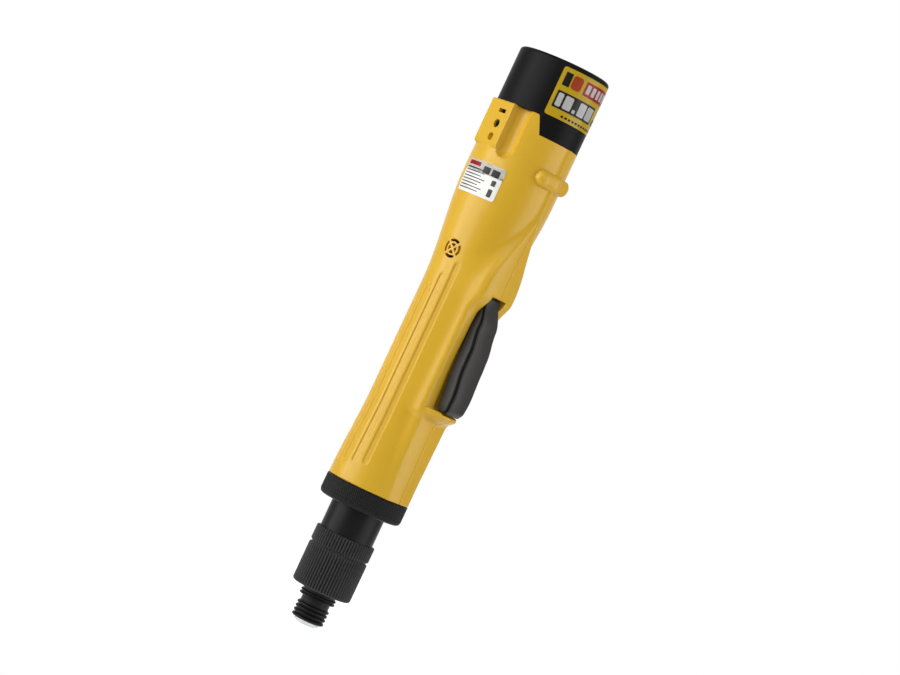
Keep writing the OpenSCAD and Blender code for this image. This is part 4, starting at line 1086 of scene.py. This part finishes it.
@dataclass
class Studio:
    """White sweep, lamps and the camera."""

    aim_z: float = 77.4
    aim_side: float = 4.3
    distance: float = 1165.0
    lens: float = 110.0
    lean_deg: float = 25.02
    paper_r: float = 420.0
    back: Vector = field(default_factory=lambda: Vector((0.616, -0.788, 0)).normalized())

    def camera(self) -> None:
        """Sets the camera square to the tool, rolled so that the tool leans to the right."""
        right = Vector((-self.back.y, self.back.x, 0))
        aim = Vector((0, 0, self.aim_z)) + right * self.aim_side
        lean = math.radians(self.lean_deg)
        up = Vector((0, 0, 1)) * math.cos(lean) - right * math.sin(lean)
        across = up.cross(self.back)
        data = bpy.data.cameras.new("camera")
        data.lens, data.sensor_width = self.lens, 36
        data.clip_start, data.clip_end = 0.01, 20
        camera = bpy.data.objects.new("camera", data)
        bpy.context.scene.collection.objects.link(camera)
        turn = Matrix((across, up, self.back)).transposed()
        camera.matrix_world = Matrix.Translation((aim + self.back * self.distance) * MM) @ turn.to_4x4()
        bpy.context.scene.camera = camera

    def lamp(self, name: str, toward: Vector, distance: float, size: tuple[float, float],
             power: float) -> None:
        """Hangs a soft box that looks at the tool's middle.

        Args:
            name: The lamp's name.
            toward: Direction from the tool to the lamp.
            distance: How far away it hangs, in metres.
            size: Its width and height in metres.
            power: Watts.
        """
        data = bpy.data.lights.new(name, "AREA")
        data.shape, data.size, data.size_y, data.energy = "RECTANGLE", size[0], size[1], power
        lamp = bpy.data.objects.new(name, data)
        bpy.context.scene.collection.objects.link(lamp)
        way = toward.normalized()
        lamp.location = Vector((0, 0, self.aim_z * MM)) + way * distance
        lamp.rotation_mode = "QUATERNION"
        lamp.rotation_quaternion = way.to_track_quat("Z", "Y")

    def paper(self) -> bpy.types.Material:
        """White studio paper that fades into the white room at its edge and keeps the tool's shadow."""
        made = bpy.data.materials.new("white studio paper")
        made.use_nodes = True
        tree = made.node_tree
        tree.nodes.clear()
        place = add_node(tree, "ShaderNodeTexCoord").outputs["Object"]
        fibre = add_node(tree, "ShaderNodeTexNoise", links={"Vector": place}, Scale=1 / (2.5 * MM))
        bump = add_node(tree, "ShaderNodeBump", links={"Height": fibre.outputs["Fac"]}, Strength=0.1,
                        Distance=0.1 * MM)
        sheet = add_node(tree, "ShaderNodeBsdfDiffuse", links={"Normal": bump.outputs["Normal"]},
                         Color=linear("#f2f2f2"))
        path = add_node(tree, "ShaderNodeLightPath")
        plain = add_node(tree, "ShaderNodeMath", {"operation": "MAXIMUM"},
                         {0: path.outputs["Is Camera Ray"], 1: path.outputs["Is Glossy Ray"]})
        shown = add_node(tree, "ShaderNodeMath", {"operation": "MAXIMUM"},
                         {0: plain.outputs[0], 1: path.outputs["Is Transmission Ray"]})
        white = add_node(tree, "ShaderNodeEmission", links={"Strength": shown.outputs[0]},
                         Color=linear("#e2e2e2"))
        lit = add_node(tree, "ShaderNodeAddShader", links={0: sheet.outputs[0], 1: white.outputs[0]})
        reach = add_node(tree, "ShaderNodeMapping", links={"Vector": place},
                         Scale=(1 / (self.paper_r * MM),) * 3)
        fall = add_node(tree, "ShaderNodeTexGradient", {"gradient_type": "SPHERICAL"},
                        {"Vector": reach.outputs["Vector"]})
        hold = add_node(tree, "ShaderNodeMapRange", links={"Value": fall.outputs["Fac"]}, From_Min=0.02,
                        From_Max=0.5)
        clear = add_node(tree, "ShaderNodeBsdfTransparent")
        blend = add_node(tree, "ShaderNodeMixShader",
                         links={0: hold.outputs["Result"], 1: clear.outputs[0], 2: lit.outputs[0]})
        add_node(tree, "ShaderNodeOutputMaterial", links={"Surface": blend.outputs[0]})
        return made

    def floor(self, low_z: float) -> None:
        """Lays a round sheet of white paper under the tool.

        Args:
            low_z: Height of the tool's lowest point, in metres.
        """
        bm = bmesh.new()
        bmesh.ops.create_circle(bm, cap_ends=True, segments=96, radius=self.paper_r * MM,
                                matrix=Matrix.Translation((0, 0, low_z)))
        mesh = bpy.data.meshes.new("paper_floor")
        bm.to_mesh(mesh)
        bm.free()
        sheet = bpy.data.objects.new("paper_floor", mesh)
        bpy.context.scene.collection.objects.link(sheet)
        sheet.data.materials.append(self.paper())
        sheet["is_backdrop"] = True

    def world(self) -> None:
        """A plain pale room that the camera sees white; metal and glass see that white behind the tool."""
        world = bpy.data.worlds.new("studio")
        bpy.context.scene.world = world
        world.use_nodes = True
        tree = world.node_tree
        tree.nodes.clear()
        way = add_node(tree, "ShaderNodeTexCoord").outputs["Generated"]
        facing = add_node(tree, "ShaderNodeMapping", links={"Vector": way},
                          Rotation=(0, 0, -math.atan2(self.back.y, self.back.x)))
        ahead = add_node(tree, "ShaderNodeSeparateXYZ", links={"Vector": facing.outputs["Vector"]})
        sweep = add_node(tree, "ShaderNodeMapRange", links={"Value": ahead.outputs["X"]}, From_Min=-0.97,
                         From_Max=-0.6, To_Min=1.0, To_Max=0.0)
        path = add_node(tree, "ShaderNodeLightPath")
        mirrored = add_node(tree, "ShaderNodeMath", {"operation": "MAXIMUM"},
                            {0: path.outputs["Is Glossy Ray"], 1: path.outputs["Is Transmission Ray"]})
        behind = add_node(tree, "ShaderNodeMath", {"operation": "MULTIPLY"},
                          {0: mirrored.outputs[0], 1: sweep.outputs["Result"]})
        shown = add_node(tree, "ShaderNodeMath", {"operation": "MAXIMUM"},
                         {0: path.outputs["Is Camera Ray"], 1: behind.outputs[0]})
        room = add_node(tree, "ShaderNodeBackground", Color=(1, 1, 1, 1), Strength=0.24)
        white = add_node(tree, "ShaderNodeBackground", Color=(1, 1, 1, 1), Strength=1.0)
        mix = add_node(tree, "ShaderNodeMixShader",
                       links={0: shown.outputs[0], 1: room.outputs[0], 2: white.outputs[0]})
        add_node(tree, "ShaderNodeOutputWorld", links={"Surface": mix.outputs[0]})

    def build(self, low_z: float) -> None:
        """Sets the stage round the tool, whose lowest point is at low_z metres."""
        bpy.context.scene.view_settings.view_transform = "Standard"
        self.world()
        self.camera()
        self.floor(low_z)
        right = Vector((-self.back.y, self.back.x, 0))
        up = Vector((0, 0, 1))
        self.lamp("left_box", self.back * 0.5 - right * 0.87 + up * 0.12, 0.7, (0.5, 0.9), 3.6)
        self.lamp("left_strip", self.back * 0.1 - right + up * 0.1, 0.7, (0.12, 0.9), 1.8)
        self.lamp("right_box", self.back * 0.42 + right * 0.9 + up * 0.12, 0.7, (0.4, 0.9), 2.2)
        self.lamp("right_strip", self.back * 0.05 + right + up * 0.1, 0.7, (0.12, 0.9), 1.1)
        self.lamp("front_box", self.back * 0.8 + up * 0.6, 1.2, (0.5, 0.5), 2.2)


def dress_carried_over() -> None:
    """Gives every CAD node the finish of its material slot."""
    for part in frame["record"]["subparts"]:
        node = frame["nodes"][part["node"]]
        finish = ZINC_STEEL if part["node"] == "housing_screws" else CARRIED_OVER[part["material_slot"]]
        node.data.materials.clear()
        node.data.materials.append(finish.material())


def main() -> None:
    """Builds the tool's looks, sub-assembly by sub-assembly, and the studio."""
    logging.basicConfig(level=logging.INFO, format="%(message)s")
    low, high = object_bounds()
    dress_carried_over()
    housing = Housing()
    housing.build()
    RatingPlate(housing.form).build()
    Battery(housing.form, housing).build()
    Trigger(housing.form).build()
    DirectionKnob().build()
    ClampRing().build()
    TorqueNut().build()
    Nose().build()
    ChuckSleeve().build()
    Studio().build(low.z)


if __name__ == "__main__":
    main()
